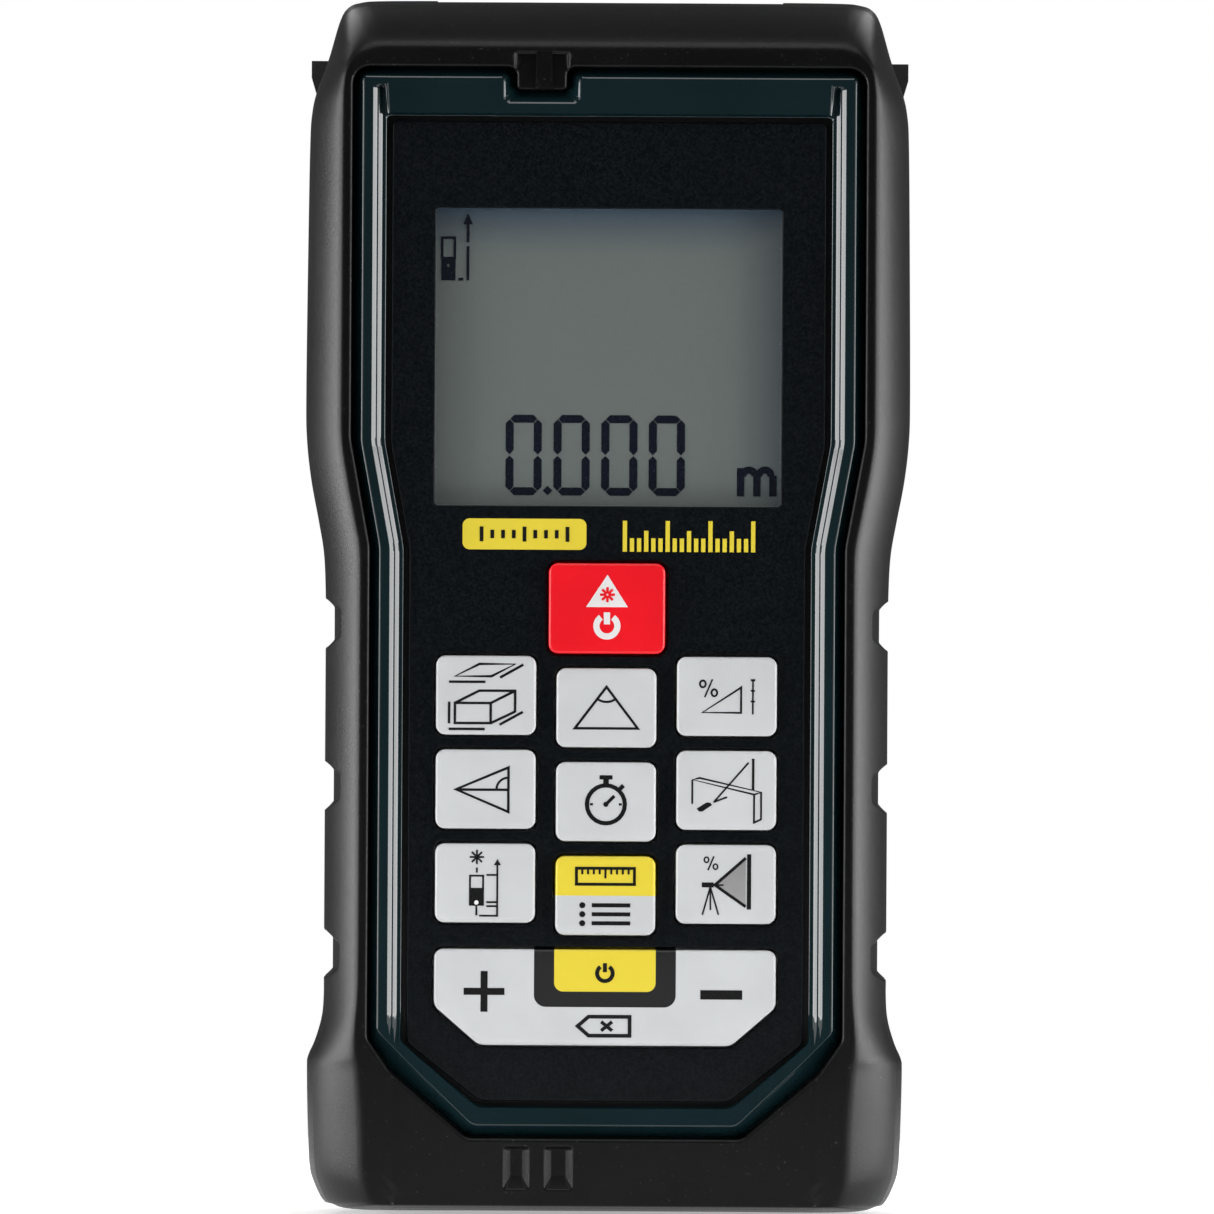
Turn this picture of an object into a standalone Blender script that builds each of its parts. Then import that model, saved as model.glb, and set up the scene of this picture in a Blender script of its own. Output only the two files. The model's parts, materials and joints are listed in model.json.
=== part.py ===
"""A hand-held laser distance meter, built as the separate pieces it comes apart into.

+Z is up and the meter stands on its rear end, with its keypad facing -Y and the laser leaving
through the top. The origin is the centre of the bottom of its box. Every size below is in
millimetres, and becomes metres where a mesh is made.
"""

import math

import bmesh
import bpy
from mathutils import Matrix, Vector

MM = 0.001
GAP = 0.3  # between pieces that touch on the real meter
GRIP_CLEARANCE = 0.5  # between the faceted rubber and the shell that it is moulded on

# Overall sizes
HALF_DEPTH = 15.5

# Depths, counted from the middle plane towards the keypad side or the back
SKIN = 2.4  # rubber over the hard shells
WALL = 1.6
SHELL_FACE = 12.9
PANEL_FACE = 14.4
KEY_FACE = 15.0
BEZEL_FACE = 15.3
BACK_FACE = 14.6
DOOR_FACE = 14.9
BOARD_FRONT = 6.1
BOARD_BACK = 4.9

# Keypad
KEY_SIZE = (10.0, 7.9)
KEY_RADIUS = 0.9
KEY_TRAVEL = 0.5
KEY_CLEARANCE = 0.35
COLUMN = 12.05
SIDE_ROWS = (52.0, 42.6, 33.2)
MIDDLE_ROWS = (50.8, 41.4, 32.0)
MEASURE_SIZE = (11.66, 9.06)
MEASURE_Z = 60.75
ROCKER_HALF_WIDTH = 17.1
ROCKER_LOW, ROCKER_HIGH = 17.0, 26.6
ROCKER_CORNER = (4.5, 3.9)
ROCKER_TILT_Y = -11.3
ROCKER_Z = 0.5 * (ROCKER_LOW + ROCKER_HIGH)

# Display
SCREEN_HALF_WIDTH = 17.35
SCREEN_LOW, SCREEN_HIGH = 71.0, 100.8

# Optics in the top end
LASER_X = -6.8
OPTICS_Y = 1.5
RECEIVER_X = 7.2

# Marks on the laser's line, on the top and bottom of the front
TOP_TAB_HALF = 2.52
TOP_TAB_DROP = 2.3
MARK_POCKETS = ((-10.0, -7.55), (-5.9, -3.2))
MARK_LOW, MARK_HIGH = 2.7, 7.3
MARK_DEPTH = 1.0

# Battery compartment and its door
CELL_RADIUS = 5.2
CELL_X = 5.6
CELL_LENGTH = 44.5
CELL_Y = 8.0
BAY_HALF_WIDTH = 11.6
BAY_LOW, BAY_HIGH = 35.2, 84.4
DOOR_HALF_WIDTH = 14.0
DOOR_LOW, DOOR_HIGH = 34.4, 87.2
DOOR_THICK = 1.3
HINGE_Y, HINGE_Z = 14.0, 33.2
HINGE_RADIUS = 0.9
KNUCKLES = ((-10.0, -6.0), (6.0, 10.0))

# Fold-out end bracket
BRACKET_HALF_WIDTH = 7.5
BRACKET_TOP = 22.0
PIVOT_Y, PIVOT_Z = 13.1, 4.2
BARREL_RADIUS = 1.6
PIN_RADIUS = 0.8
PIN_CLEARANCE = 0.08
PIN_HALF_LENGTH = 10.4

# Fasteners and the tripod socket
SCREW_X = 19.0
SCREW_ROWS = (8.5, 109.3)
SOCKET_Z = 28.2
SOCKET_OUTER, SOCKET_BORE = 4.0, 2.95

# Outline of the rubber seen from the front, right half from top to bottom: outer edge (x, z),
# edge of the flat front lip (x, z), and how much of a grip notch cuts in there.
PROFILE = (
    ((12.0, 122.0), (11.0, 116.6), 0),
    ((24.0, 121.9), (21.5, 116.6), 0),
    ((26.4, 121.3), (23.6, 116.5), 0),
    ((27.4, 119.8), (25.5, 115.9), 0),
    ((28.4, 116.0), (26.3, 114.6), 0),
    ((29.5, 113.0), (26.5, 112.4), 0),
    ((30.1, 110.0), (26.5, 110.0), 0),
    ((30.4, 95.0), (26.5, 95.0), 0),
    ((30.5, 80.0), (26.5, 78.2), 0),
    ((30.0, 74.0), (25.8, 73.6), 0),
    ((29.0, 68.0), (24.7, 67.8), 0),
    ((28.55, 64.6), (24.5, 64.6), 0),
    ((28.45, 61.9), (24.5, 61.9), 0),
    ((28.45, 61.0), (24.5, 61.0), 1),
    ((28.45, 57.0), (24.5, 57.0), 1),
    ((28.4, 56.1), (24.5, 56.1), 0),
    ((28.4, 45.5), (24.5, 45.5), 0),
    ((28.4, 44.6), (24.5, 44.6), 1),
    ((28.4, 40.7), (24.5, 40.7), 1),
    ((28.4, 39.8), (24.5, 39.8), 0),
    ((28.4, 28.6), (24.5, 28.6), 0),
    ((28.4, 27.7), (24.5, 27.7), 1),
    ((28.4, 23.8), (24.5, 23.8), 1),
    ((28.4, 22.9), (24.5, 22.9), 0),
    ((28.5, 19.8), (24.45, 19.8), 0),
    ((29.2, 17.2), (24.1, 17.2), 0),
    ((30.05, 15.2), (23.8, 15.2), 0),
    ((29.9, 8.0), (23.7, 8.0), 0),
    ((29.5, 3.4), (23.7, 3.2), 0),
    ((28.3, 0.9), (23.4, 1.4), 0),
    ((24.5, 0.0), (22.0, 1.0), 0),
    ((12.0, 0.0), (11.0, 1.0), 0),
)
NOTCH_DEPTH = 0.85
SHELL_PROFILE = (
    ((25.0, 122.0), (22.5, 116.6)),
    ((28.3, 116.5), (25.6, 114.2)),
    ((30.1, 110.0), (26.5, 110.0)),
    ((30.4, 95.0), (26.5, 95.0)),
    ((30.5, 80.0), (26.5, 78.2)),
    ((29.0, 68.0), (24.7, 67.8)),
    ((28.45, 62.0), (24.5, 62.0)),
    ((28.4, 22.9), (24.5, 22.9)),
    ((28.6, 19.4), (24.4, 19.4)),
    ((30.05, 15.2), (23.8, 15.2)),
    ((29.6, 3.6), (23.7, 3.4)),
    ((26.0, 0.0), (22.0, 1.0)),
)

# Sections through the rubber's side: depth, share of the way in to the lip, share of the notch
SECTIONS = (
    (0.15, 0.0, 1.0),
    (8.4, 0.0, 1.0),
    (10.6, 0.2, 0.0),
    (14.2, 0.86, 0.0),
    (15.1, 0.97, 0.0),
    (HALF_DEPTH, 1.08, 0.0),
)

# Openings in the front, right half from top to bottom
RUBBER_OPENING = (
    (24.9, 114.9),
    (25.7, 114.1),
    (25.7, 77.6),
    (23.75, 66.9),
    (23.75, 17.6),
    (21.5, 14.3),
    (13.8, 7.7),
)
PANEL_OPENING = ((22.2, 109.95), (22.2, 77.0), (20.3, 66.6), (20.3, 17.4), (12.7, 10.9))


# ---------------------------------------------------------------- outlines, clockwise from the front


def mirrored(right):
    """The whole outline from its right half, which runs from top to bottom."""
    return list(right) + [(-x, z) for x, z in reversed(right)]


def inset(outline, distance):
    """The outline moved inwards by a distance, or outwards by a negative one."""
    moved = []
    count = len(outline)
    for i, (x, z) in enumerate(outline):
        before = Vector(outline[i - 1])
        here = Vector((x, z))
        after = Vector(outline[(i + 1) % count])
        first = (here - before).normalized()
        second = (after - here).normalized()
        first_normal = Vector((first.y, -first.x))
        second_normal = Vector((second.y, -second.x))
        mitre = (first_normal + second_normal) / (1 + first_normal.dot(second_normal))
        moved.append((x + mitre.x * distance, z + mitre.y * distance))
    return moved


def with_top_tab(outline, half, drop):
    """The outline with a tab that hangs from its top edge, on the laser's line."""
    top = outline[0][1]
    return outline + [
        (LASER_X - half, top),
        (LASER_X - half, top - drop),
        (LASER_X + half, top - drop),
        (LASER_X + half, top),
    ]


def rounded_rectangle(x, z, width, height, radius, steps=3):
    points = []
    corners = ((1, 1, 90), (1, -1, 0), (-1, -1, -90), (-1, 1, 180))
    for side, up, start in corners:
        for step in range(steps + 1):
            angle = math.radians(start - 90 * step / steps)
            points.append(
                (
                    x + side * (0.5 * width - radius) + radius * math.cos(angle),
                    z + up * (0.5 * height - radius) + radius * math.sin(angle),
                )
            )
    return points


def circle(x, z, radius, steps=16):
    turns = (2 * math.pi * step / steps for step in range(steps))
    return [(x + radius * math.sin(turn), z + radius * math.cos(turn)) for turn in turns]


def rectangle(x0, x1, z0, z1):
    return [(x1, z1), (x1, z0), (x0, z0), (x0, z1)]


def rubber_outline(share, notch):
    """The rubber's outline at a share of the way from its outer edge to its front lip."""
    right = []
    for (outer_x, outer_z), (lip_x, lip_z), notched in PROFILE:
        x = outer_x + share * (lip_x - outer_x) - notched * notch * NOTCH_DEPTH
        right.append((x, outer_z + share * (lip_z - outer_z)))
    return mirrored(right)


def plain_outline(share):
    """The same outline without the grip notches and on fewer points, for the hard shells."""
    right = []
    for (outer_x, outer_z), (lip_x, lip_z) in SHELL_PROFILE:
        right.append((outer_x + share * (lip_x - outer_x), outer_z + share * (lip_z - outer_z)))
    return mirrored(right)


def rocker_outline(margin=0.0):
    """The wide key at the foot of the keypad, with its lower corners cut off."""
    across, up = ROCKER_CORNER
    right = (
        (ROCKER_HALF_WIDTH, ROCKER_HIGH),
        (ROCKER_HALF_WIDTH, ROCKER_LOW + up),
        (ROCKER_HALF_WIDTH - across, ROCKER_LOW),
    )
    return inset(mirrored(right), -margin)


# ---------------------------------------------------------------- meshes and objects


def ring(outline, y):
    return [(x, y, z) for x, z in outline]


def add_skin(bm, rings, around=False):
    """A closed skin over rings of points: capped at both ends, or joined end to end."""
    loops = [[bm.verts.new(Vector(point) * MM) for point in points] for points in rings]
    pairs = list(zip(loops, loops[1:]))
    if around:
        pairs.append((loops[-1], loops[0]))
    for near, far in pairs:
        for i in range(len(near)):
            j = (i + 1) % len(near)
            bm.faces.new((near[i], near[j], far[j], far[i]))
    if not around:
        bm.faces.new(loops[0])
        bm.faces.new(loops[-1])


def add_object(name, bm):
    bmesh.ops.recalc_face_normals(bm, faces=bm.faces)
    mesh = bpy.data.meshes.new(name)
    bm.to_mesh(mesh)
    bm.free()
    obj = bpy.data.objects.new(name, mesh)
    bpy.context.scene.collection.objects.link(obj)
    return obj


def skinned(name, rings, around=False):
    bm = bmesh.new()
    add_skin(bm, rings, around)
    return add_object(name, bm)


def prism(name, outline, y0, y1):
    return skinned(name, (ring(outline, y0), ring(outline, y1)))


def prisms(name, parts):
    """Several prisms that stay clear of each other, as one object."""
    bm = bmesh.new()
    for outline, y0, y1 in parts:
        add_skin(bm, (ring(outline, y0), ring(outline, y1)))
    return add_object(name, bm)


def box(name, x0, x1, y0, y1, z0, z1):
    return prism(name, rectangle(x0, x1, z0, z1), y0, y1)


def turned(name, profile, centre, axis="Z", steps=20, around=False):
    """A turned solid: (radius, height) pairs about an axis through centre."""
    rings = []
    for radius, height in profile:
        points = []
        for x, z in circle(0, 0, radius, steps):
            along = {"X": (height, x, z), "Y": (x, height, z), "Z": (x, z, height)}[axis]
            points.append(Vector(along) + Vector(centre))
        rings.append(points)
    return skinned(name, rings, around)


def rod(name, radius, start, length, axis, steps=16):
    return turned(name, ((radius, 0), (radius, length)), start, axis, steps)


def helper(obj):
    """Marks an object that only cuts or joins another."""
    obj.hide_render = True
    obj.display_type = "WIRE"
    return obj


def combine(obj, other, operation):
    modifier = obj.modifiers.new(f"{operation.lower()} {other.name}", "BOOLEAN")
    modifier.operation = operation
    modifier.solver = "EXACT"
    modifier.object = helper(other)


def cut(obj, *others):
    for other in others:
        combine(obj, other, "DIFFERENCE")


def join(obj, *others):
    for other in others:
        combine(obj, other, "UNION")


def finish(obj, colour, roughness, metallic=0.0, origin=None):
    """Gives a piece its material and, for a moving piece, puts its origin on its joint."""
    material = bpy.data.materials.new(obj.name)
    material.use_nodes = True
    shader = material.node_tree.nodes["Principled BSDF"]
    shader.inputs["Base Color"].default_value = (*colour, 1.0)
    shader.inputs["Roughness"].default_value = roughness
    shader.inputs["Metallic"].default_value = metallic
    material.diffuse_color = (*colour, 1.0)
    obj.data.materials.append(material)
    obj.data.shade_smooth()
    obj.data.set_sharp_from_angle(angle=math.radians(30))
    if origin is not None:
        place = Vector(origin) * MM
        obj.data.transform(Matrix.Translation(-place))
        obj.location = place
    obj.parent = bpy.data.objects["meter"]
    return obj


RUBBER = (0.035, 0.035, 0.036)
BLACK_PLASTIC = (0.02, 0.02, 0.022)
TEAL_PLASTIC = (0.008, 0.03, 0.035)
PANEL = (0.01, 0.012, 0.015)
KEY_GREY = (0.62, 0.63, 0.64)
KEY_RED = (0.8, 0.01, 0.03)
STEEL = (0.6, 0.6, 0.6)
BRASS = (0.7, 0.5, 0.2)
BOARD_GREEN = (0.02, 0.15, 0.05)
GLASS = (0.8, 0.85, 0.85)
SILICONE = (0.15, 0.15, 0.16)


# ---------------------------------------------------------------- rubber grips and hard shells


def shell_rings(side, grow, face_depth):
    """Sections of the hard shell's outside, grown by a distance, on one side of the middle."""
    wide = inset(plain_outline(0), SKIN - grow)
    narrow = inset(plain_outline(1), 1.2 - grow)
    return [(wide, side * (9.4 + grow)), (narrow, side * face_depth)]


def grip(name, side, opening):
    """Half of the rubber jacket: its outside, less the hard shell's space and an opening."""
    sections = [ring(rubber_outline(share, notch), side * y) for y, share, notch in SECTIONS]
    jacket = skinned(name, sections)
    (wide, middle), (narrow, face) = shell_rings(side, GRIP_CLEARANCE, SHELL_FACE + GAP)
    space = skinned(
        f"{name}_space", (ring(wide, -side), ring(wide, middle), ring(narrow, face))
    )
    hole = prism(f"{name}_opening", opening, side * 12.0, side * (HALF_DEPTH + 1))
    lens_hole = box(f"{name}_lens_hole", -17.6, 17.6, -8.0, 10.8, 112, 124)
    lugs = prisms(f"{name}_lug_slots", lug_parts(GAP))
    cut(jacket, space, hole, lens_hole, lugs)
    return jacket


def lug_parts(margin):
    """Small lugs that stand out through the rubber at each side of the top end."""
    low, high = 112.6 - margin, 116.0 + margin
    outline = [
        (30.2 + margin, high),
        (30.2 + margin, 114.3),
        (29.7 + margin, low),
        (25.6, low),
        (25.6, high),
    ]
    left = [(-x, z) for x, z in reversed(outline)]
    return [(side, -3.0 - margin, 1.6 + margin) for side in (outline, left)]


def front_grip():
    opening = with_top_tab(mirrored(RUBBER_OPENING), TOP_TAB_HALF, TOP_TAB_DROP)
    jacket = grip("front_grip", -1, opening)
    pockets = [
        (rectangle(x0, x1, MARK_LOW, MARK_HIGH), -HALF_DEPTH - 1, -HALF_DEPTH + MARK_DEPTH)
        for x0, x1 in MARK_POCKETS
    ]
    cut(jacket, prisms("mark_pockets", pockets))
    finish(jacket, RUBBER, 0.7)


def rear_grip():
    jacket = grip("rear_grip", 1, inset(plain_outline(1), 1.5))
    cut(jacket, box("bracket_way", -8.2, 8.2, 11.2, 17, -1, 8))
    finish(jacket, RUBBER, 0.7)


def screw_places():
    return [(side * SCREW_X, z) for z in SCREW_ROWS for side in (-1, 1)]


def key_holes(margin):
    """The outlines of the openings that the keys pass through."""
    holes = [
        rounded_rectangle(x, z, width + 2 * margin, height + 2 * margin, KEY_RADIUS + margin)
        for name, x, z, (width, height), colour in KEYS
    ]
    return holes + [rocker_outline(margin)]


def front_cover():
    outside = [(inset(plain_outline(0), SKIN), -0.6)] + shell_rings(-1, 0, SHELL_FACE)
    cover = skinned("front_cover", [ring(outline, y) for outline, y in outside])
    wide, narrow = (inset(outline, WALL) for outline in (outside[1][0], outside[2][0]))
    inside = skinned(
        "front_cover_inside", (ring(wide, 1), ring(wide, -8.8), ring(narrow, WALL - SHELL_FACE))
    )
    cut(cover, inside)
    bosses = [(circle(x, z, 2.6), -12.0, -0.6) for x, z in screw_places()]
    join(cover, prisms("front_bosses", bosses))
    lugs = [(outline, y0, -0.6) for outline, y0, y1 in lug_parts(0)]
    join(cover, prisms("lugs", lugs))
    bores = [(circle(x, z, 1.15), -10.0, 1.0) for x, z in screw_places()]
    window = rectangle(-20.2, 20.2, 68.2, 103.6)
    openings = [(outline, -14, -10) for outline in key_holes(KEY_CLEARANCE) + [window]]
    lens_hole = rectangle(-17.6, 17.6, 112.9, 124)
    cut(cover, prisms("front_cutter", bores + openings + [(lens_hole, -8.0, 2.0)]))
    finish(cover, BLACK_PLASTIC, 0.5)


def rear_cover():
    narrow = inset(plain_outline(1), 1.8)
    outside = [(inset(plain_outline(0), SKIN), 0.6)] + shell_rings(1, 0, SHELL_FACE)
    outside += [(narrow, SHELL_FACE), (narrow, BACK_FACE)]
    cover = skinned("rear_cover", [ring(outline, y) for outline, y in outside])
    wide, deep = inset(outside[1][0], WALL), inset(narrow, WALL)
    inside = skinned(
        "rear_cover_inside", (ring(wide, -1), ring(wide, 8.8), ring(deep, BACK_FACE - 2.0))
    )
    cut(cover, inside)
    blocks = [(circle(x, z, 3.4), 0.6, SHELL_FACE) for x, z in screw_places()]
    blocks += [
        (rectangle(-12.9, 12.9, BAY_LOW - 1.3, BAY_HIGH + 1.3), 1.2, 13.6),
        (rectangle(-14.0, 14.0, 31.4, BAY_LOW - 1.0), 11.0, 13.6),
        (circle(0, SOCKET_Z, SOCKET_OUTER + 1.6), 4.2, 13.6),
        (rectangle(-11.6, 11.6, 3.2, 23.6), 9.8, 13.6),
    ]
    for number, block in enumerate(blocks):
        join(cover, prism(f"rear_block_{number}", *block))
    bay = rectangle(-BAY_HALF_WIDTH, BAY_HALF_WIDTH, BAY_LOW, BAY_HIGH)
    seat = rectangle(
        -DOOR_HALF_WIDTH - GAP, DOOR_HALF_WIDTH + GAP, DOOR_LOW - GAP, DOOR_HIGH + GAP
    )
    pocket_low = HINGE_Z - HINGE_RADIUS - 0.35
    cut(cover, prism("bay", bay, 2.4, 16), prism("door_seat", seat, 12.6, 16))
    pockets = [
        (rectangle(x0 - GAP, x1 + GAP, pocket_low, DOOR_LOW), 12.7, 16) for x0, x1 in KNUCKLES
    ]
    screws = [(circle(x, z, 1.25), -1, 16) for x, z in screw_places()]
    heads = [(circle(x, z, 2.6), 11.6, 16) for x, z in screw_places()]
    cut(cover, prisms("hinge_pockets", pockets), prisms("screw_ways", screws))
    cut(cover, prisms("screw_heads", heads))
    cut(cover, prism("socket_way", circle(0, SOCKET_Z, SOCKET_OUTER + GAP, 24), 5.6, 16))
    recess = rectangle(-BRACKET_HALF_WIDTH - 0.4, BRACKET_HALF_WIDTH + 0.4, -1, BRACKET_TOP + 0.5)
    finger = rectangle(-4, 4, BRACKET_TOP, BRACKET_TOP + 1.4)
    cut(cover, prism("bracket_recess", recess, 11.2, 16), prism("finger_scoop", finger, 13.0, 16))
    start = (-PIN_HALF_LENGTH - GAP, PIVOT_Y, PIVOT_Z)
    length = 2 * (PIN_HALF_LENGTH + GAP)
    cut(cover, rod("pin_way", PIN_RADIUS + PIN_CLEARANCE, start, length, "X"))
    cut(cover, box("plate_seat", -13.3, 13.3, 14.0, 16, 92.7, 105.3))
    cut(cover, box("rear_lens_way", -17.6, 17.6, -2, 10.8, 112.9, 124))
    finish(cover, BLACK_PLASTIC, 0.5)


def case_seal():
    outer = inset(plain_outline(0), SKIN + 0.3)
    inner = inset(outer, 1.0)
    seal = prism("case_seal", outer, -GAP, GAP)
    cut(seal, prism("seal_space", inner, -1, 1))
    cut(seal, box("seal_lens_way", -17.6, 17.6, -2, 2, 112.9, 124))
    finish(seal, SILICONE, 0.6)


def case_screws():
    profile = ((0.4, -14.4), (0.85, -13.6), (0.85, -1.2), (2.1, -1.2), (2.1, -0.3), (1.7, 0))
    for number, (x, z) in enumerate(screw_places(), 1):
        screw = turned(f"case_screw_{number}", profile, (x, 13.6, z), "Y", 16)
        slot = [(rectangle(x - 1.1, x + 1.1, z - 0.25, z + 0.25), 13.0, 15)]
        cross = [(rectangle(x - 0.25, x + 0.25, z - 1.1, z + 1.1), 13.0, 15)]
        cut(screw, prisms(f"slot_{number}", slot), prisms(f"cross_{number}", cross))
        finish(screw, STEEL, 0.35, 1.0)


# ---------------------------------------------------------------- front face


def bezel_frame():
    outer = inset(mirrored(RUBBER_OPENING), GAP)
    outer = with_top_tab(outer, TOP_TAB_HALF + GAP, TOP_TAB_DROP)
    inner = mirrored(PANEL_OPENING)
    frame = skinned(
        "bezel_frame",
        (
            ring(outer, -SHELL_FACE - GAP),
            ring(outer, -PANEL_FACE),
            ring(inset(outer, 0.9), -BEZEL_FACE),
        ),
    )
    cut(frame, prism("bezel_opening", inner, -12, -17))
    finish(frame, TEAL_PLASTIC, 0.12)


def face_panel():
    panel = prism(
        "face_panel", inset(mirrored(PANEL_OPENING), GAP), -SHELL_FACE - GAP, -PANEL_FACE
    )
    window = rectangle(-SCREEN_HALF_WIDTH, SCREEN_HALF_WIDTH, SCREEN_LOW, SCREEN_HIGH)
    openings = key_holes(KEY_CLEARANCE) + [window]
    cut(panel, prisms("panel_openings", [(outline, -12, -17) for outline in openings]))
    finish(panel, PANEL, 0.4)


def display_window():
    pane = box(
        "display_window",
        -SCREEN_HALF_WIDTH + 0.15,
        SCREEN_HALF_WIDTH - 0.15,
        -PANEL_FACE + 0.1,
        -SHELL_FACE - GAP,
        SCREEN_LOW + 0.15,
        SCREEN_HIGH - 0.15,
    )
    finish(pane, GLASS, 0.05)


# ---------------------------------------------------------------- keypad

KEYS = (
    ("measure_key", 0.0, MEASURE_Z, MEASURE_SIZE, KEY_RED),
    ("area_volume_key", -COLUMN, SIDE_ROWS[0], KEY_SIZE, KEY_GREY),
    ("triangle_key", 0.0, MIDDLE_ROWS[0], KEY_SIZE, KEY_GREY),
    ("slope_key", COLUMN, SIDE_ROWS[0], KEY_SIZE, KEY_GREY),
    ("pythagoras_key", -COLUMN, SIDE_ROWS[1], KEY_SIZE, KEY_GREY),
    ("timer_key", 0.0, MIDDLE_ROWS[1], KEY_SIZE, KEY_GREY),
    ("trapezoid_key", COLUMN, SIDE_ROWS[1], KEY_SIZE, KEY_GREY),
    ("reference_key", -COLUMN, SIDE_ROWS[2], KEY_SIZE, KEY_GREY),
    ("units_history_key", 0.0, MIDDLE_ROWS[2], KEY_SIZE, KEY_GREY),
    ("profile_key", COLUMN, SIDE_ROWS[2], KEY_SIZE, KEY_GREY),
)
FLANGE_FRONT = SHELL_FACE - WALL - GAP
FLANGE_BACK = FLANGE_FRONT - 0.6
STEM_END = 7.9
STEM_RADIUS = 1.2
MAT_FRONT = FLANGE_BACK - KEY_TRAVEL - GAP
MAT_BACK = MAT_FRONT - 0.6


def keys():
    """Each key: a cap through the panel and shell, a flange that holds it in, and a stem."""
    for name, x, z, (width, height), colour in KEYS:
        stem = rounded_rectangle(x, z, 2 * STEM_RADIUS, 2 * STEM_RADIUS, STEM_RADIUS)
        cap = rounded_rectangle(x, z, width, height, KEY_RADIUS)
        flange = inset(cap, -0.7)
        levels = (
            (stem, STEM_END),
            (stem, FLANGE_BACK),
            (flange, FLANGE_BACK),
            (flange, FLANGE_FRONT),
            (cap, FLANGE_FRONT),
            (cap, KEY_FACE - 0.3),
            (inset(cap, 0.3), KEY_FACE),
        )
        key = skinned(name, [ring(outline, -depth) for outline, depth in levels])
        finish(key, colour, 0.45, origin=(x, -FLANGE_FRONT, z))


def adjust_rocker():
    """The wide key: it tilts to either side, and presses in the middle with its carrier."""
    cap, flange = rocker_outline(), rocker_outline(0.7)
    levels = (
        (flange, FLANGE_BACK),
        (flange, FLANGE_FRONT),
        (cap, FLANGE_FRONT),
        (cap, KEY_FACE - 0.3),
        (inset(cap, 0.3), KEY_FACE),
    )
    rocker = skinned("adjust_rocker", [ring(outline, -depth) for outline, depth in levels])
    for number, x in enumerate((-12.0, 12.0)):
        join(rocker, prism(f"rocker_stem_{number}", circle(x, ROCKER_Z, 1.2, 12), -11.0, -STEM_END))
    finish(rocker, KEY_GREY, 0.45, origin=(0, ROCKER_TILT_Y, ROCKER_Z))


def rocker_carrier():
    """A sprung plate with a ridge along which the rocker tilts, and a stem to its own dome."""
    ridge, plate = rectangle(-0.6, 0.6, 18.5, 25.5), rectangle(-6, 6, 18.0, 26.0)
    stem = rectangle(-STEM_RADIUS, STEM_RADIUS, ROCKER_Z - STEM_RADIUS, ROCKER_Z + STEM_RADIUS)
    levels = ((ridge, 10.1), (ridge, 9.6), (plate, 9.6), (plate, 8.8), (stem, 8.8), (stem, STEM_END))
    carrier = skinned("rocker_carrier", [ring(outline, -depth) for outline, depth in levels])
    finish(carrier, BLACK_PLASTIC, 0.5, origin=(0, -9.2, ROCKER_Z))


def key_mat():
    mat = box("key_mat", -19.5, 19.5, -MAT_FRONT, -MAT_BACK, 28.2, 66.0)
    holes = [(circle(x, z, STEM_RADIUS + 0.5, 12), -11, -8) for name, x, z, size, colour in KEYS]
    cut(mat, prisms("mat_holes", holes))
    finish(mat, SILICONE, 0.6)


def dome_sheet():
    """Click domes in one sheet on the board, one under each stem."""
    places = [(x, z) for name, x, z, size, colour in KEYS]
    places += [(x, ROCKER_Z) for x in (-12.0, 0.0, 12.0)]
    back, sheet = BOARD_FRONT + GAP, BOARD_FRONT + GAP + 0.2
    sheet_object = box("dome_sheet", -19.0, 19.0, -sheet, -back, 15.5, 65.5)
    domes = bmesh.new()
    for x, z in places:
        levels = ((2.4, back + 0.1), (2.2, sheet + 0.15), (1.2, sheet + 0.4))
        add_skin(domes, [ring(circle(x, z, radius, 10), -depth) for radius, depth in levels])
    join(sheet_object, add_object("domes", domes))
    finish(sheet_object, STEEL, 0.4, 0.6)


# ---------------------------------------------------------------- display and electronics


def display_stack():
    glass = box("lcd_glass", -19.8, 19.8, -12.7, -10.9, 68.6, 103.2)
    finish(glass, (0.3, 0.33, 0.31), 0.2)
    frame = box("lcd_frame", -20.8, 20.8, -10.6, -7.4, 67.2, 104.6)
    cut(frame, box("lcd_frame_space", -18.6, 18.6, -10.0, -6.4, 73.5, 101.5))
    cut(frame, box("connector_slot", -17.5, 17.5, -11.6, -6.4, 69.0, 71.6))
    finish(frame, (0.5, 0.5, 0.48), 0.5)
    connector = box("lcd_connector", -17.1, 17.1, -10.6, -BOARD_FRONT - GAP, 69.4, 71.2)
    finish(connector, SILICONE, 0.6)


def electronics():
    board = box("main_board", -21.0, 21.0, -BOARD_FRONT, -BOARD_BACK, 13.0, 105.8)
    corners = [(rectangle(x0, x1, 12, 15.2), -8, -4) for x0, x1 in ((-24, -17.5), (17.5, 24))]
    cut(board, prisms("board_corners", corners))
    finish(board, BOARD_GREEN, 0.4)
    can = box("shield_can", -19.0, -3.0, -BOARD_BACK + GAP, -2.0, 68.0, 84.0)
    cut(can, box("can_space", -18.6, -3.4, -6, -2.4, 68.4, 83.6))
    finish(can, STEEL, 0.3, 1.0)
    profile = ((5.0, 0), (5.0, 2.6), (1.2, 2.6), (1.2, 1.0))
    buzzer = turned("buzzer", profile, (11.0, -BOARD_BACK + GAP, 22.0), "Y", 18)
    finish(buzzer, BLACK_PLASTIC, 0.5)


# ---------------------------------------------------------------- optics


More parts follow.
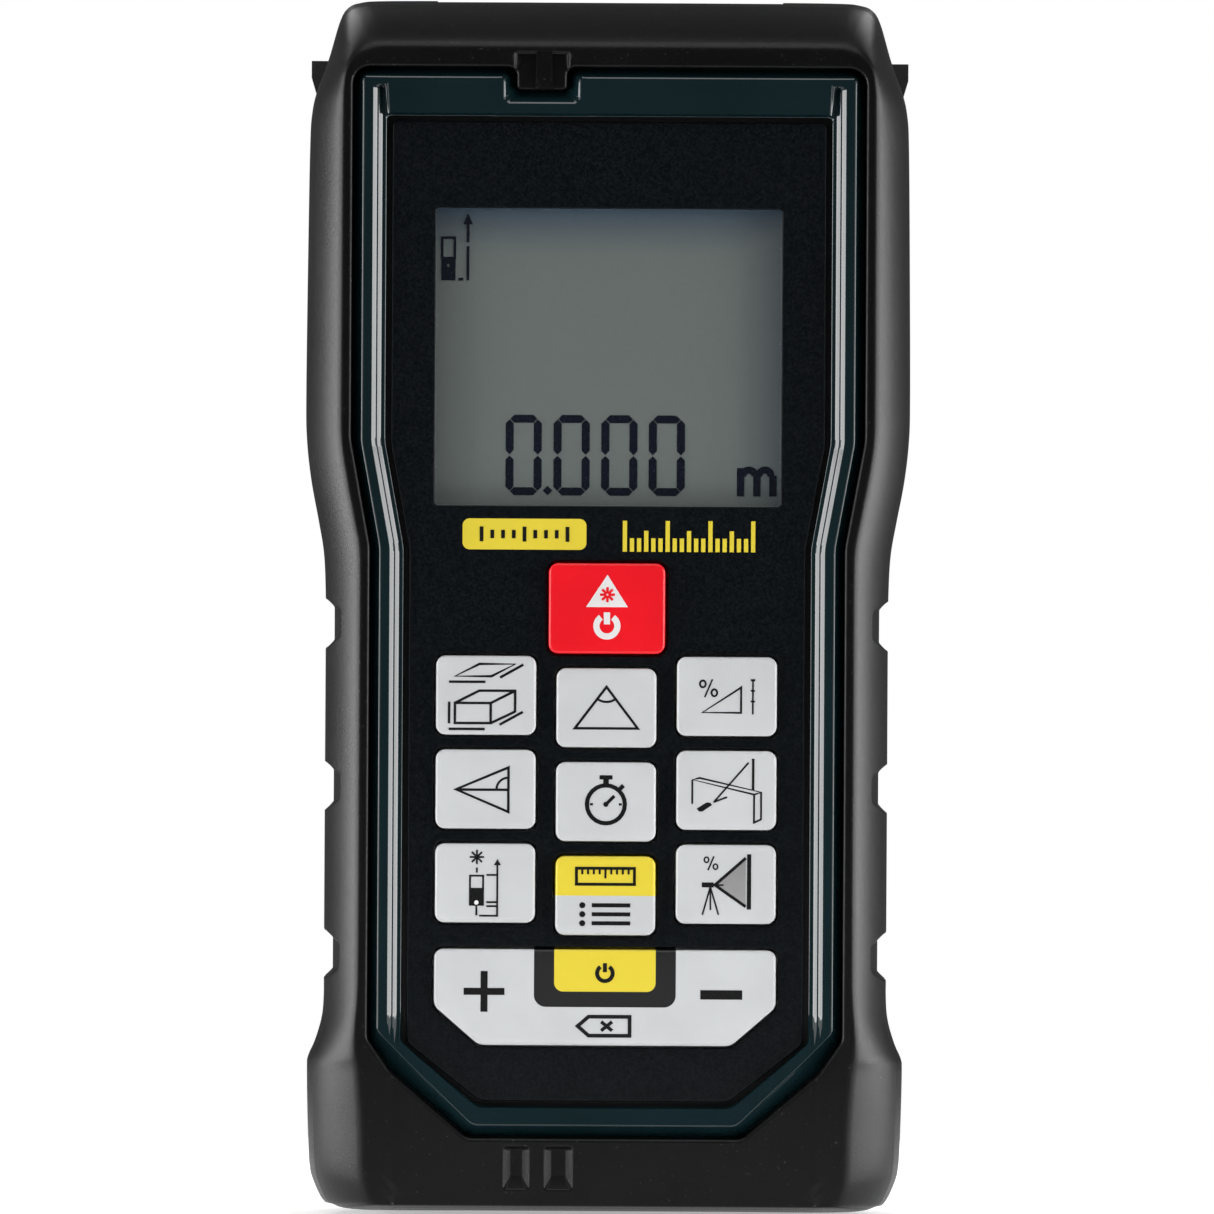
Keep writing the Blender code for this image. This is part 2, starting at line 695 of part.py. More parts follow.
def optics():
    frame = box("optics_frame", -12.4, 15.0, -4.2, 11.4, 92.6, 112.4)
    tunnel_profile = ((2.6, 90.0), (2.6, 95.5), (6.6, 112.0), (6.6, 114.0))
    tunnel = turned("tunnel", tunnel_profile, (RECEIVER_X, OPTICS_Y + 2.2, 0), "Z", 24)
    bore = rod("laser_bore", 4.1, (LASER_X, OPTICS_Y, 90.0), 24, "Z", 20)
    cut(frame, tunnel, bore)
    finish(frame, BLACK_PLASTIC, 0.5)
    module = ((2.4, 94.2), (3.8, 94.2), (3.8, 111.0), (3.0, 111.0), (3.0, 108.4), (2.4, 108.4))
    finish(
        turned("laser_module", module, (LASER_X, OPTICS_Y, 0), "Z", 20, around=True), BRASS, 0.3, 1.0
    )
    lens = ((0.3, 108.7), (2.7, 108.9), (2.7, 109.8), (0.3, 110.6))
    finish(turned("collimator_lens", lens, (LASER_X, OPTICS_Y, 0), "Z", 16), GLASS, 0.05)
    board = box("receiver_board", -1.6, 15.0, -3.0, 11.0, 90.8, 92.0)
    finish(board, BOARD_GREEN, 0.4)


def lens_end():
    """The hard end plate between the grips, with the laser's window and the receiver's lens."""
    end = box("lens_end_frame", -17.3, 17.3, -7.7, 10.5, 113.2, 121.4)
    receiver_y = OPTICS_Y + 0.1
    seat = ((6.2, 112.0), (6.2, 116.6), (7.4, 116.6), (7.4, 123.0))
    cut(end, turned("receiver_seat", seat, (RECEIVER_X + 0.6, receiver_y, 0), "Z", 28))
    laser = ((2.6, 112.0), (2.6, 118.0), (3.6, 118.0), (3.6, 123.0))
    cut(end, turned("laser_seat", laser, (LASER_X, OPTICS_Y, 0), "Z", 20))
    finish(end, BLACK_PLASTIC, 0.45)
    lens = ((7.1, 116.9), (7.1, 118.2), (5.2, 119.2), (2.6, 119.8), (0.4, 120.0))
    finish(turned("receiver_lens", lens, (RECEIVER_X + 0.6, receiver_y, 0), "Z", 28), GLASS, 0.05)
    finish(rod("laser_window", 3.3, (LASER_X, OPTICS_Y, 118.3), 1.0, "Z", 20), GLASS, 0.05)


# ---------------------------------------------------------------- battery compartment


def cell(name, x, low, up):
    """An AAA cell standing on z = low, with its nub up or down."""
    profile = [(CELL_RADIUS - 0.5, 0), (CELL_RADIUS, 0.4), (CELL_RADIUS, 42.9), (4.8, 43.7)]
    profile += [(1.9, 43.7), (1.9, CELL_LENGTH)]
    if not up:
        profile = [(radius, CELL_LENGTH - height) for radius, height in profile]
    finish(turned(name, profile, (x, CELL_Y, low), "Z", 20), (0.1, 0.1, 0.1), 0.35, 0.4)


def coil(name, x, wide_z, narrow_z):
    """A tapered contact spring, one wire from its wide end to its narrow end."""
    turns, per_turn, wire = 3, 10, 0.25
    curve = bpy.data.curves.new(name, "CURVE")
    curve.dimensions = "3D"
    curve.bevel_depth = wire * MM
    curve.bevel_resolution = 0
    curve.use_fill_caps = True
    spline = curve.splines.new("POLY")
    count = turns * per_turn + 1
    spline.points.add(count - 1)
    for i in range(count):
        share = i / (count - 1)
        angle = 2 * math.pi * turns * share
        radius = 3.8 - 2.0 * share
        z = wide_z + (narrow_z - wide_z) * share
        place = (x + radius * math.cos(angle), CELL_Y + radius * math.sin(angle), z)
        spline.points[i].co = (*(MM * value for value in place), 1.0)
    obj = bpy.data.objects.new(name, curve)
    bpy.context.scene.collection.objects.link(obj)
    material = bpy.data.materials.new(name)
    material.use_nodes = True
    material.node_tree.nodes["Principled BSDF"].inputs["Metallic"].default_value = 1.0
    curve.materials.append(material)
    obj.parent = bpy.data.objects["meter"]


def battery_contacts():
    low, high = BAY_LOW + GAP, BAY_HIGH - GAP
    for number, x in enumerate((-CELL_X, CELL_X), 1):
        plate = box(f"contact_plate_{number}", x - 4.4, x + 4.4, 3.4, 12.0, low, low + 0.4)
        finish(plate, STEEL, 0.3, 1.0)
    bridge = box("contact_bridge", -10.0, 10.0, 3.4, 12.0, high - 0.4, high)
    finish(bridge, STEEL, 0.3, 1.0)
    cell("battery_1", -CELL_X, high - 0.4 - GAP - CELL_LENGTH, True)
    cell("battery_2", CELL_X, low + 0.4 + GAP, False)
    coil("contact_spring_1", -CELL_X, low + 0.95, high - CELL_LENGTH - 1.3)
    coil("contact_spring_2", CELL_X, high - 0.95, low + CELL_LENGTH + 1.3)


def battery_door():
    width, height = 2 * DOOR_HALF_WIDTH, DOOR_HIGH - DOOR_LOW
    outline = rounded_rectangle(0, 0.5 * (DOOR_LOW + DOOR_HIGH), width, height, 0.8)
    inner = DOOR_FACE - DOOR_THICK
    levels = ((outline, inner), (outline, DOOR_FACE - 0.3), (inset(outline, 0.3), DOOR_FACE))
    door = skinned("battery_door", [ring(points, y) for points, y in levels])
    for number, (x0, x1) in enumerate(KNUCKLES):
        barrel = rod(f"barrel_{number}", HINGE_RADIUS, (x0, HINGE_Y, HINGE_Z), x1 - x0, "X", 12)
        web = box(f"web_{number}", x0 + 0.2, x1 - 0.2, 13.65, 14.5, HINGE_Z, DOOR_LOW + 0.5)
        join(door, barrel, web)
    finish(door, BLACK_PLASTIC, 0.5, origin=(0, HINGE_Y, HINGE_Z))


def battery_door_seal():
    outer = rectangle(-13.7, 13.7, BAY_LOW - 0.7, BAY_HIGH + 2.3)
    inner = rectangle(-12.2, 12.2, BAY_LOW + 0.3, BAY_HIGH + 0.7)
    seal = prism("battery_door_seal", outer, 12.9, 13.3)
    cut(seal, prism("door_seal_space", inner, 12, 14))
    finish(seal, SILICONE, 0.6)


# ---------------------------------------------------------------- back fittings


def end_bracket():
    """The fold-out end piece: a tongue on a barrel that turns about the pin."""
    tongue = rounded_rectangle(0, 0.5 * (PIVOT_Z + BRACKET_TOP), 15.0, BRACKET_TOP - PIVOT_Z, 1.2)
    back, front = PIVOT_Y + 1.3, PIVOT_Y - 1.3
    levels = ((tongue, front), (tongue, back - 0.4), (inset(tongue, 0.4), back))
    bracket = skinned("end_bracket", [ring(points, y) for points, y in levels])
    start = (-BRACKET_HALF_WIDTH, PIVOT_Y, PIVOT_Z)
    join(bracket, rod("bracket_barrel", BARREL_RADIUS, start, 2 * BRACKET_HALF_WIDTH, "X", 20))
    ends = (-BRACKET_HALF_WIDTH - 1, PIVOT_Y, PIVOT_Z)
    length = 2 * BRACKET_HALF_WIDTH + 2
    cut(bracket, rod("bracket_bore", PIN_RADIUS + PIN_CLEARANCE, ends, length, "X"))
    finish(bracket, BLACK_PLASTIC, 0.5, origin=(0, PIVOT_Y, PIVOT_Z))
    pin = rod(
        "bracket_pin", PIN_RADIUS, (-PIN_HALF_LENGTH, PIVOT_Y, PIVOT_Z), 2 * PIN_HALF_LENGTH, "X"
    )
    finish(pin, STEEL, 0.3, 1.0)


def back_fittings():
    profile = (
        (SOCKET_BORE, BACK_FACE - 0.1),
        (SOCKET_BORE, 7.4),
        (0.5, 6.4),
        (0.5, 5.9),
        (SOCKET_OUTER, 5.9),
        (SOCKET_OUTER, BACK_FACE - 0.1),
    )
    insert = turned("tripod_insert", profile[3:], (0, 0, SOCKET_Z), "Y", 24)
    bore = turned(
        "socket_bore",
        ((0.5, 6.4), (SOCKET_BORE, 7.4), (SOCKET_BORE, 13.9), (SOCKET_BORE + 0.5, 16)),
        (0, 0, SOCKET_Z),
        "Y",
        24,
    )
    cut(insert, bore)
    finish(insert, BRASS, 0.3, 1.0)
    plate = prism("type_plate", rounded_rectangle(0, 99.0, 26.0, 12.0, 0.8), 14.3, 14.6)
    finish(plate, (0.5, 0.5, 0.5), 0.3, 0.8)


def main():
    for obj in list(bpy.data.objects):
        bpy.data.objects.remove(obj)
    empty = bpy.data.objects.new("meter", None)
    bpy.context.scene.collection.objects.link(empty)
    front_grip()
    rear_grip()
    front_cover()
    rear_cover()
    case_seal()
    case_screws()
    bezel_frame()
    face_panel()
    display_window()
    keys()
    adjust_rocker()
    rocker_carrier()
    key_mat()
    dome_sheet()
    display_stack()
    electronics()
    optics()
    lens_end()
    battery_contacts()
    battery_door()
    battery_door_seal()
    end_bracket()
    back_fittings()


main()
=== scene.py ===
import json
import math

import bmesh
import bpy
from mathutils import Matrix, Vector
from mathutils.geometry import delaunay_2d_cdt


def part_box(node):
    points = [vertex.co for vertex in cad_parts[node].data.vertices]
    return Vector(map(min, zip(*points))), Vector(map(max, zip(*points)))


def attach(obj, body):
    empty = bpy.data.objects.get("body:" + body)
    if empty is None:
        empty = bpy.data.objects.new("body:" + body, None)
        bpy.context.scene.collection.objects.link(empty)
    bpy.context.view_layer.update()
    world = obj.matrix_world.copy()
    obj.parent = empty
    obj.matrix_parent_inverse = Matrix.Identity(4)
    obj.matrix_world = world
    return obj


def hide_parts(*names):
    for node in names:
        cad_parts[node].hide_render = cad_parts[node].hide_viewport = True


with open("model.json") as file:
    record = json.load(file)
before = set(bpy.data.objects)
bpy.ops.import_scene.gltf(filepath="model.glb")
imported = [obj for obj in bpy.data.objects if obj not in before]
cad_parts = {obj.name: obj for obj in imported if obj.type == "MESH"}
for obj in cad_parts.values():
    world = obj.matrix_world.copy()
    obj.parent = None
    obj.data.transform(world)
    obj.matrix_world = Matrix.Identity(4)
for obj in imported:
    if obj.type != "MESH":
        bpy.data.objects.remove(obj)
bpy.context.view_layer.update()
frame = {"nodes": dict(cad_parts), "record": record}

MM = 0.001
HOUSING = "housing"

# In mm; a depth is measured from the middle of the meter, towards its front or its back
LASER_X = -6.8
HALF_DEPTH = 15.5
FRONT_WALL_BACK = 13.2
PANEL_FACE = 14.4
KEY_FACE = 15.0
FLANGE_FRONT, FLANGE_BACK = 11.0, 10.4
SHARP_ANGLE = 35  # degrees

# -------- outlines in the front plane, mm


def spline(points, spacing):
    """Points along a smooth curve through the given ones, about `spacing` apart in the first two."""
    count = len(points)
    path = []
    for i in range(count - 1):
        before, start = points[max(i - 1, 0)], points[i]
        end, after = points[i + 1], points[min(i + 2, count - 1)]
        steps = max(1, round(math.dist(start[:2], end[:2]) / spacing))
        for step in range(steps):
            t = step / steps
            point = []
            for a, b, c, d in zip(before, start, end, after):
                bend, twist = 2 * a - 5 * b + 4 * c - d, 3 * b - a - 3 * c + d
                point.append(0.5 * (2 * b + (c - a) * t + bend * t**2 + twist * t**3))
            path.append(tuple(point))
    path.append(tuple(points[-1]))
    return path


def fillet(before, corner, after, radius, steps):
    """The arc that rounds a corner, as steps + 1 points."""
    here = Vector(corner)
    one = (Vector(before) - here).normalized()
    two = (Vector(after) - here).normalized()
    half = 0.5 * one.angle(two)
    reach = radius / math.tan(half)
    centre = here + (one + two).normalized() * radius / math.sin(half)
    start, end = here + one * reach - centre, here + two * reach - centre
    angle = start.angle(end)
    points = []
    for step in range(steps + 1):
        t = step / steps
        a, b = math.sin((1 - t) * angle), math.sin(t * angle)
        points.append(tuple(centre + (start * a + end * b) / math.sin(angle)))
    return points


def rounded(corners, steps=6):
    """A closed outline from (x, z, radius) corners; a corner with no radius is one point."""
    points = []
    count = len(corners)
    for i, (x, z, radius) in enumerate(corners):
        before, after = corners[i - 1], corners[(i + 1) % count]
        if radius:
            points += fillet(before[:2], (x, z), after[:2], radius, steps)
        else:
            points.append((x, z))
    return points


def rectangle(x, z, width, height, radius, steps=8):
    w, h = 0.5 * width, 0.5 * height
    corners = ((x + w, z + h), (x + w, z - h), (x - w, z - h), (x - w, z + h))
    return rounded([(*corner, radius) for corner in corners], steps)


def circle(x, z, radius, steps=32):
    turns = (2 * math.pi * step / steps for step in range(steps))
    return [(x + radius * math.sin(turn), z + radius * math.cos(turn)) for turn in turns]


def mirrored(right):
    return list(right) + [(-point[0], *point[1:]) for point in reversed(right)]


def inset(outline, distance):
    """A clockwise outline moved inwards by a distance, or outwards by a negative one."""
    moved = []
    count = len(outline)
    for i, point in enumerate(outline):
        here = Vector(point)
        first = here - Vector(outline[i - 1])
        second = Vector(outline[(i + 1) % count]) - here
        if first.length < 1e-6:
            first = second
        if second.length < 1e-6:
            second = first
        first.normalize()
        second.normalize()
        normals = Vector((first.y, -first.x)), Vector((second.y, -second.x))
        mitre = (normals[0] + normals[1]) / (1 + normals[0].dot(normals[1]))
        moved.append(tuple(here + mitre * distance))
    return moved


def mix(a, b, share):
    return a + (b - a) * share


def smooth(value, low, high):
    t = min(1.0, max(0.0, (value - low) / (high - low)))
    return t * t * (3 - 2 * t)


# -------- meshes


def ring(outline, y):
    return [(point[0], y, point[1]) for point in outline]


def bridge(bm, near, far):
    for i in range(len(near)):
        j = (i + 1) % len(near)
        bm.faces.new((near[i], near[j], far[j], far[i]))


def skin(bm, rings):
    """A surface through rings of points, open at both ends; gives its loops of vertices."""
    loops = [[bm.verts.new(Vector(point) * MM) for point in points] for points in rings]
    for near, far in zip(loops, loops[1:]):
        bridge(bm, near, far)
    return loops


INSIDE_WITH_HOLES = 2  # the triangulation's mode that leaves the inner loops open


def fill(bm, *loops):
    """Fills the flat area inside the first loop and outside the others with triangles."""
    verts = [vert for loop in loops for vert in loop]
    flat = [Vector((vert.co.x, vert.co.z)) / MM for vert in verts]
    faces, start = [], 0
    for loop in loops:
        faces.append(list(range(start, start + len(loop))))
        start += len(loop)
    result = delaunay_2d_cdt(flat, [], faces, INSIDE_WITH_HOLES, 1e-5)
    for triangle in result[2]:
        bm.faces.new([verts[result[3][number][0]] for number in triangle])


def add_solid(bm, rings, around=False):
    loops = skin(bm, rings)
    if around:
        bridge(bm, loops[-1], loops[0])
    else:
        bm.faces.new(loops[0])
        bm.faces.new(loops[-1])


def shade(obj, angle):
    """Smooth shading with sharp edges above an angle in degrees."""
    obj.data.shade_smooth()
    obj.data.set_sharp_from_angle(angle=math.radians(angle))
    modifier = obj.modifiers.new("weighted normals", "WEIGHTED_NORMAL")
    modifier.keep_sharp = True
    modifier.weight = 80


def coat(obj, material):
    obj.data.materials.clear()
    obj.data.materials.append(material)


def to_object(name, bm, angle=SHARP_ANGLE, body=HOUSING, slot=None, replaced=(), material=None):
    """Turns a mesh into a piece that rides on a body, in its slot's material or in a given one."""
    bmesh.ops.recalc_face_normals(bm, faces=bm.faces)
    mesh = bpy.data.meshes.new(name)
    bm.to_mesh(mesh)
    bm.free()
    obj = bpy.data.objects.new(name, mesh)
    bpy.context.scene.collection.objects.link(obj)
    shade(obj, angle)
    if material or slot:
        coat(obj, material or MATERIALS[slot])
    if body:
        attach(obj, body)
    if replaced:
        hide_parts(*replaced)
    return obj


def solid(name, rings, around=False, **options):
    bm = bmesh.new()
    add_solid(bm, rings, around)
    return to_object(name, bm, **options)


def rounded_edge(outline, y, radius, side, steps=5):
    """Rings that round an edge from its side wall to the face at depth y; side is -1 in front."""
    rings = []
    for step in range(steps + 1):
        angle = 0.5 * math.pi * step / steps
        level = y - side * radius * (1 - math.sin(angle))
        rings.append(ring(inset(outline, radius * (1 - math.cos(angle))), level))
    return rings


def cut_with(obj, name, parts):
    """Cuts prisms, given as (outline, y0, y1), from an object and applies the result."""
    bm = bmesh.new()
    for outline, y0, y1 in parts:
        add_solid(bm, (ring(outline, y0), ring(outline, y1)))
    cutter = to_object(name, bm, body=None)
    material = obj.data.materials[0]
    obj.modifiers.clear()
    modifier = obj.modifiers.new(name, "BOOLEAN")
    modifier.operation = "DIFFERENCE"
    modifier.solver = "EXACT"
    modifier.object = cutter
    graph = bpy.context.evaluated_depsgraph_get()
    mesh = bpy.data.meshes.new_from_object(obj.evaluated_get(graph))
    obj.modifiers.clear()
    obj.data = mesh
    bpy.data.objects.remove(cutter)
    shade(obj, SHARP_ANGLE)
    coat(obj, material)


# -------- materials


class Nodes:
    """A material's node tree, with short ways to add what the materials below share."""

    def __init__(self, name, material=None):
        self.material = material or bpy.data.materials.new(name)
        self.material.use_nodes = True
        self.tree = self.material.node_tree
        self.shader = self.tree.nodes["Principled BSDF"]
        self.place = self.tree.nodes.new("ShaderNodeTexCoord").outputs["Object"]

    def feed(self, name, value, node=None):
        """Gives an input of a node, or of the shader, another node's output or a fixed value."""
        target = (node or self.shader).inputs[name]
        if isinstance(value, bpy.types.NodeSocket):
            self.tree.links.new(value, target)
        else:
            target.default_value = value

    def add(self, kind, inputs):
        node = self.tree.nodes.new("ShaderNode" + kind)
        for name, value in inputs.items():
            self.feed(name, value, node)
        return node

    def noise(self, size_mm, detail=2.0, roughness=0.5, stretch=None):
        place = self.place
        if stretch:
            place = self.add("Mapping", {"Scale": stretch, "Vector": place}).outputs["Vector"]
        inputs = {"Scale": 1.0 / (size_mm * MM), "Detail": detail, "Roughness": roughness, "Vector": place}
        return self.add("TexNoise", inputs).outputs["Fac"]

    def spread(self, value, low, high, start=0.3, end=0.7):
        inputs = {"From Min": start, "From Max": end, "To Min": low, "To Max": high, "Value": value}
        return self.add("MapRange", inputs).outputs["Result"]

    def colours(self, value, *stops):
        """A colour ramp of (position, colour) stops."""
        node = self.add("ValToRGB", {"Fac": value})
        ramp = node.color_ramp
        for number, (position, colour) in enumerate(stops):
            stop = ramp.elements[number] if number < 2 else ramp.elements.new(position)
            stop.position = position
            stop.color = (*colour, 1.0)
        return node.outputs["Color"]

    def along(self, axis):
        """The place along one axis, in metres."""
        return self.add("SeparateXYZ", {"Vector": self.place}).outputs[axis]

    def vector_maths(self, operation, value, other=(0.0, 0.0, 0.0)):
        node = self.add("VectorMath", {0: value, 1: other})
        node.operation = operation
        return node.outputs["Value" if operation == "LENGTH" else "Vector"]

    def inside(self, x, z, width, height, radius):
        """1 inside a rounded rectangle of the front plane, in mm, and 0 outside it."""
        value = self.vector_maths("SUBTRACT", self.place, (x * MM, 0.0, z * MM))
        value = self.vector_maths("MULTIPLY", value, (1.0, 0.0, 1.0))
        value = self.vector_maths("ABSOLUTE", value)
        half = ((0.5 * width - radius) * MM, 0.0, (0.5 * height - radius) * MM)
        value = self.vector_maths("SUBTRACT", value, half)
        value = self.vector_maths("MAXIMUM", value)
        value = self.vector_maths("LENGTH", value)
        return self.spread(value, 1.0, 0.0, (radius - 0.01) * MM, (radius + 0.01) * MM)

    def blend(self, mask, first, second, mode="MIX"):
        """Blends an output or a plain colour over another by a mask."""
        node = self.tree.nodes.new("ShaderNodeMix")
        node.data_type = "RGBA"
        node.blend_type = mode
        for name, value in (("Factor", mask), ("A", first), ("B", second)):
            self.feed(name, (*value, 1.0) if isinstance(value, tuple) else value, node)
        return node.outputs["Result"]

    def bump(self, height, depth_mm, strength=1.0):
        node = self.add("Bump", {"Strength": strength, "Distance": depth_mm * MM, "Height": height})
        self.feed("Normal", node.outputs["Normal"])


def tinted(colour, factor):
    return tuple(min(1.0, value * factor) for value in colour)


def surface(name, tones, patches, grain, gloss, relief, stops=(0.35, 0.65), swell=None):
    """Patches between two tones, with a grain that varies the gloss and raises the surface.

    Patches, grain and swell are noises; the swell raises the surface in place of the grain.
    """
    nodes = Nodes(name)
    nodes.feed("Base Color", nodes.colours(nodes.noise(*patches), *zip(stops, tones)))
    fine = nodes.noise(*grain)
    nodes.feed("Roughness", nodes.spread(fine, *gloss))
    nodes.bump(nodes.noise(*swell) if swell else fine, *relief)
    return nodes


def varied(name, colour, roughness, grain_mm, grain_depth, spread=0.12):
    """A moulded or printed surface: slight colour and gloss changes, and a fine grain."""
    tones = tinted(colour, 1 - spread), tinted(colour, 1 + spread)
    gloss = roughness - 0.06, roughness + 0.06
    return surface(name, tones, (6.0, 3.0), (grain_mm, 3.0, 0.6), gloss, (grain_depth,)).material


def rubber_material():
    """Matt moulded rubber: fine pitted grain, patches of handling wear and a few dust specks."""
    nodes = Nodes("moulded rubber")
    patches = nodes.noise(9.0, 4.0)
    base = nodes.colours(patches, (0.35, (0.0028, 0.0028, 0.003)), (0.65, (0.0042, 0.0042, 0.0044)))
    specks = nodes.spread(nodes.noise(0.32, 1.0), 0.0, 1.0, 0.72, 0.8)
    nodes.feed("Base Color", nodes.blend(specks, base, (0.03, 0.03, 0.03)))
    grain = nodes.noise(0.24, 3.0, 0.65)
    nodes.feed("Roughness", nodes.spread(grain, 0.31, 0.43))
    nodes.bump(grain, 0.02, 0.7)
    nodes.feed("Specular IOR Level", 0.2)
    return nodes.material


def panel_material():
    """The panel's hard coat: near black, with a fine spark-eroded grain."""
    tones = (0.001, 0.0022, 0.0035), (0.0065, 0.0085, 0.0105)
    grain = (0.22, 3.0, 0.65)
    nodes = surface("panel hard coat", tones, grain, grain, (0.34, 0.46), (0.014, 0.6), (0.4, 0.7))
    nodes.feed("Specular IOR Level", 0.15)
    return nodes.material


def bezel_material():
    """Polished dark teal plastic, with faint polishing marks in its gloss."""
    tones = (0.004, 0.0135, 0.0165), (0.005, 0.0165, 0.02)
    marks = (0.5, 4.0, 0.7, (1.0, 1.0, 0.15))
    relief, swell = (0.0008, 0.4), (1.6, 1.0)
    return surface("polished teal", tones, (11.0, 3.0), marks, (0.05, 0.1), relief, swell=swell).material


def screen_material():
    """The display's grey-green background, with painted shade: bluer and darker under the window's top and
    right edge.
    """
    nodes = Nodes("display background")
    # painted shade: a mask that rises towards the window's top edge and, more weakly, its right edge, where
    # the frame's shadow falls
    top = nodes.spread(nodes.along("Z"), 0.0, 1.0, 0.0962, 0.1008)
    right = nodes.spread(nodes.along("X"), 0.0, 0.45, 0.0125, 0.0173)
    edge = nodes.add("Math", {0: top, 1: right})
    edge.operation = "MAXIMUM"
    # the stop at 1.0 is the painted shade colour, bluer and darker than the plain background
    stops = (0.0, (0.205, 0.234, 0.222)), (1.0, (0.098, 0.150, 0.205)), (0.55, (0.160, 0.191, 0.210))
    base = nodes.colours(edge.outputs[0], *stops)
    weave = nodes.noise(0.35, 4.0, 0.7)
    shade = nodes.colours(weave, (0.3, (0.93, 0.93, 0.93)), (0.7, (1.0, 1.0, 1.0)))
    nodes.feed("Base Color", nodes.blend(1.0, base, shade, "MULTIPLY"))
    nodes.feed("Roughness", nodes.spread(weave, 0.3, 0.42))
    return nodes.material


def clear_material(name, tint, alpha):
    """Thin clear plastic or coated glass, with faint wipe marks in its gloss."""
    wipe = (5.0, 3.0, 0.6)
    tones = tint, tinted(tint, 1.06)
    nodes = surface(name, tones, wipe, wipe, (0.03, 0.07), (0.002, 0.3), (0.3, 0.7))
    nodes.feed("Alpha", alpha)
    return nodes.material


BAND_LENGTH = 7.0


def sleeve_material(name, z, up):
    """A cell's printed sleeve: dark grey, with a pale grey band at the positive end."""
    nodes = Nodes(f"{name} sleeve")
    towards_end = 1 if up else -1
    start = z - towards_end * BAND_LENGTH
    band = nodes.spread(nodes.along("Z"), 0.0, 1.0, start * MM, (start + towards_end * 0.05) * MM)
    wear = nodes.noise(3.0, 3.0)
    dark = nodes.colours(wear, (0.35, (0.030, 0.034, 0.040)), (0.65, (0.034, 0.038, 0.044)))
    pale = nodes.colours(wear, (0.35, (0.40, 0.41, 0.42)), (0.65, (0.43, 0.44, 0.45)))
    nodes.feed("Base Color", nodes.blend(band, dark, pale))
    nodes.feed("Roughness", nodes.spread(wear, 0.26, 0.32))
    return nodes.material


def board_material():
    """Green solder mask over a faint pattern of tracks."""
    nodes = Nodes("solder mask")
    tracks = nodes.add("TexVoronoi", {"Scale": 1.0 / (2.4 * MM), "Vector": nodes.place})
    tracks.distance = "MANHATTAN"
    base = nodes.colours(tracks.outputs["Distance"], (0.3, (0.012, 0.11, 0.04)), (0.5, (0.02, 0.2, 0.07)))
    nodes.feed("Base Color", base)
    nodes.feed("Roughness", nodes.spread(nodes.noise(0.8, 2.0), 0.25, 0.4))
    nodes.bump(tracks.outputs["Distance"], 0.03, 0.4)
    return nodes.material


def brushed_material(name, colour, roughness, stretch):
    """Metal with fine lines drawn along one direction."""
    lines = (0.25, 4.0, 0.7, stretch)
    gloss = roughness - 0.07, roughness + 0.07
    nodes = surface(name, (tinted(colour, 0.82), colour), lines, lines, gloss, (0.006, 0.5), (0.3, 0.7))
    nodes.feed("Metallic", 1.0)
    return nodes.material


YELLOW = (0.80, 0.64, 0.042)
MATERIALS = {
    "rubber_grip": rubber_material(),
    "black_shell": varied("textured black plastic", (0.012, 0.012, 0.013), 0.5, 0.22, 0.02),
    "inner_plastic": varied("moulded black plastic", (0.02, 0.02, 0.021), 0.45, 0.6, 0.01),
    "bezel_gloss": bezel_material(),
    "panel_film": panel_material(),
    "clear_window": clear_material("clear window", (0.02, 0.03, 0.035), 0.08),
    "lens_glass": clear_material("coated lens", (0.05, 0.03, 0.08), 0.72),
    "lcd_face": screen_material(),
    "silicone": varied("grey silicone", (0.12, 0.12, 0.125), 0.55, 0.5, 0.01),
    "spring_steel": brushed_material("plated steel", (0.58, 0.57, 0.54), 0.3, (1.0, 0.2, 0.2)),
    "screw_steel": brushed_material("dark plated screw", (0.22, 0.22, 0.23), 0.35, (1.0, 1.0, 0.3)),
    "circuit_board": board_material(),
    "brass": brushed_material("turned brass", (0.72, 0.5, 0.2), 0.28, (0.3, 3.0, 0.3)),
    "cell_jacket": varied("battery sleeve", (0.05, 0.05, 0.055), 0.3, 2.0, 0.004),
    "label_plate": brushed_material("label plate", (0.55, 0.56, 0.57), 0.4, (0.1, 1.0, 1.0)),
    "key_red": varied("red key", (0.88, 0.005, 0.014), 0.36, 0.16, 0.004, spread=0.04),
    "key_grey": varied("pale grey key", (0.60, 0.615, 0.625), 0.45, 0.16, 0.004, spread=0.03),
}
INK = {
    "black": varied("black ink", (0.006, 0.006, 0.0065), 0.3, 0.1, 0.002),
    "white": varied("white ink", (0.82, 0.80, 0.80), 0.5, 0.1, 0.002, spread=0.03),
    "yellow": varied("yellow ink", YELLOW, 0.5, 0.1, 0.002, spread=0.03),
    "grey": varied("grey ink", (0.3, 0.3, 0.3), 0.5, 0.1, 0.002),
    "segment": varied("display segment", (0.004, 0.004, 0.014), 0.25, 0.3, 0.002),
    "red": MATERIALS["key_red"],
}


def paint_areas(name, areas):
    """The pale key plastic with areas of other colours, each a rounded rectangle on the front."""
    material = MATERIALS["key_grey"].copy()
    material.name = name
    nodes = Nodes(name, material)
    colour = nodes.shader.inputs["Base Color"].links[0].from_socket
    for box, paint in areas:
        colour = nodes.blend(nodes.inside(*box), colour, paint)
    nodes.feed("Base Color", colour)
    return material


# Radius of the softened edges in mm, on the nodes that differ from the rest
EDGE_SOFTNESS = {"rear_cover": 0.2, "front_cover": 0.25, "lens_end_frame": 0.3, "contact_spring_1": 0.01,
                 "contact_spring_2": 0.01, "dome_sheet": 0.03, "case_seal": 0.05}
USUAL_SOFTNESS = 0.12


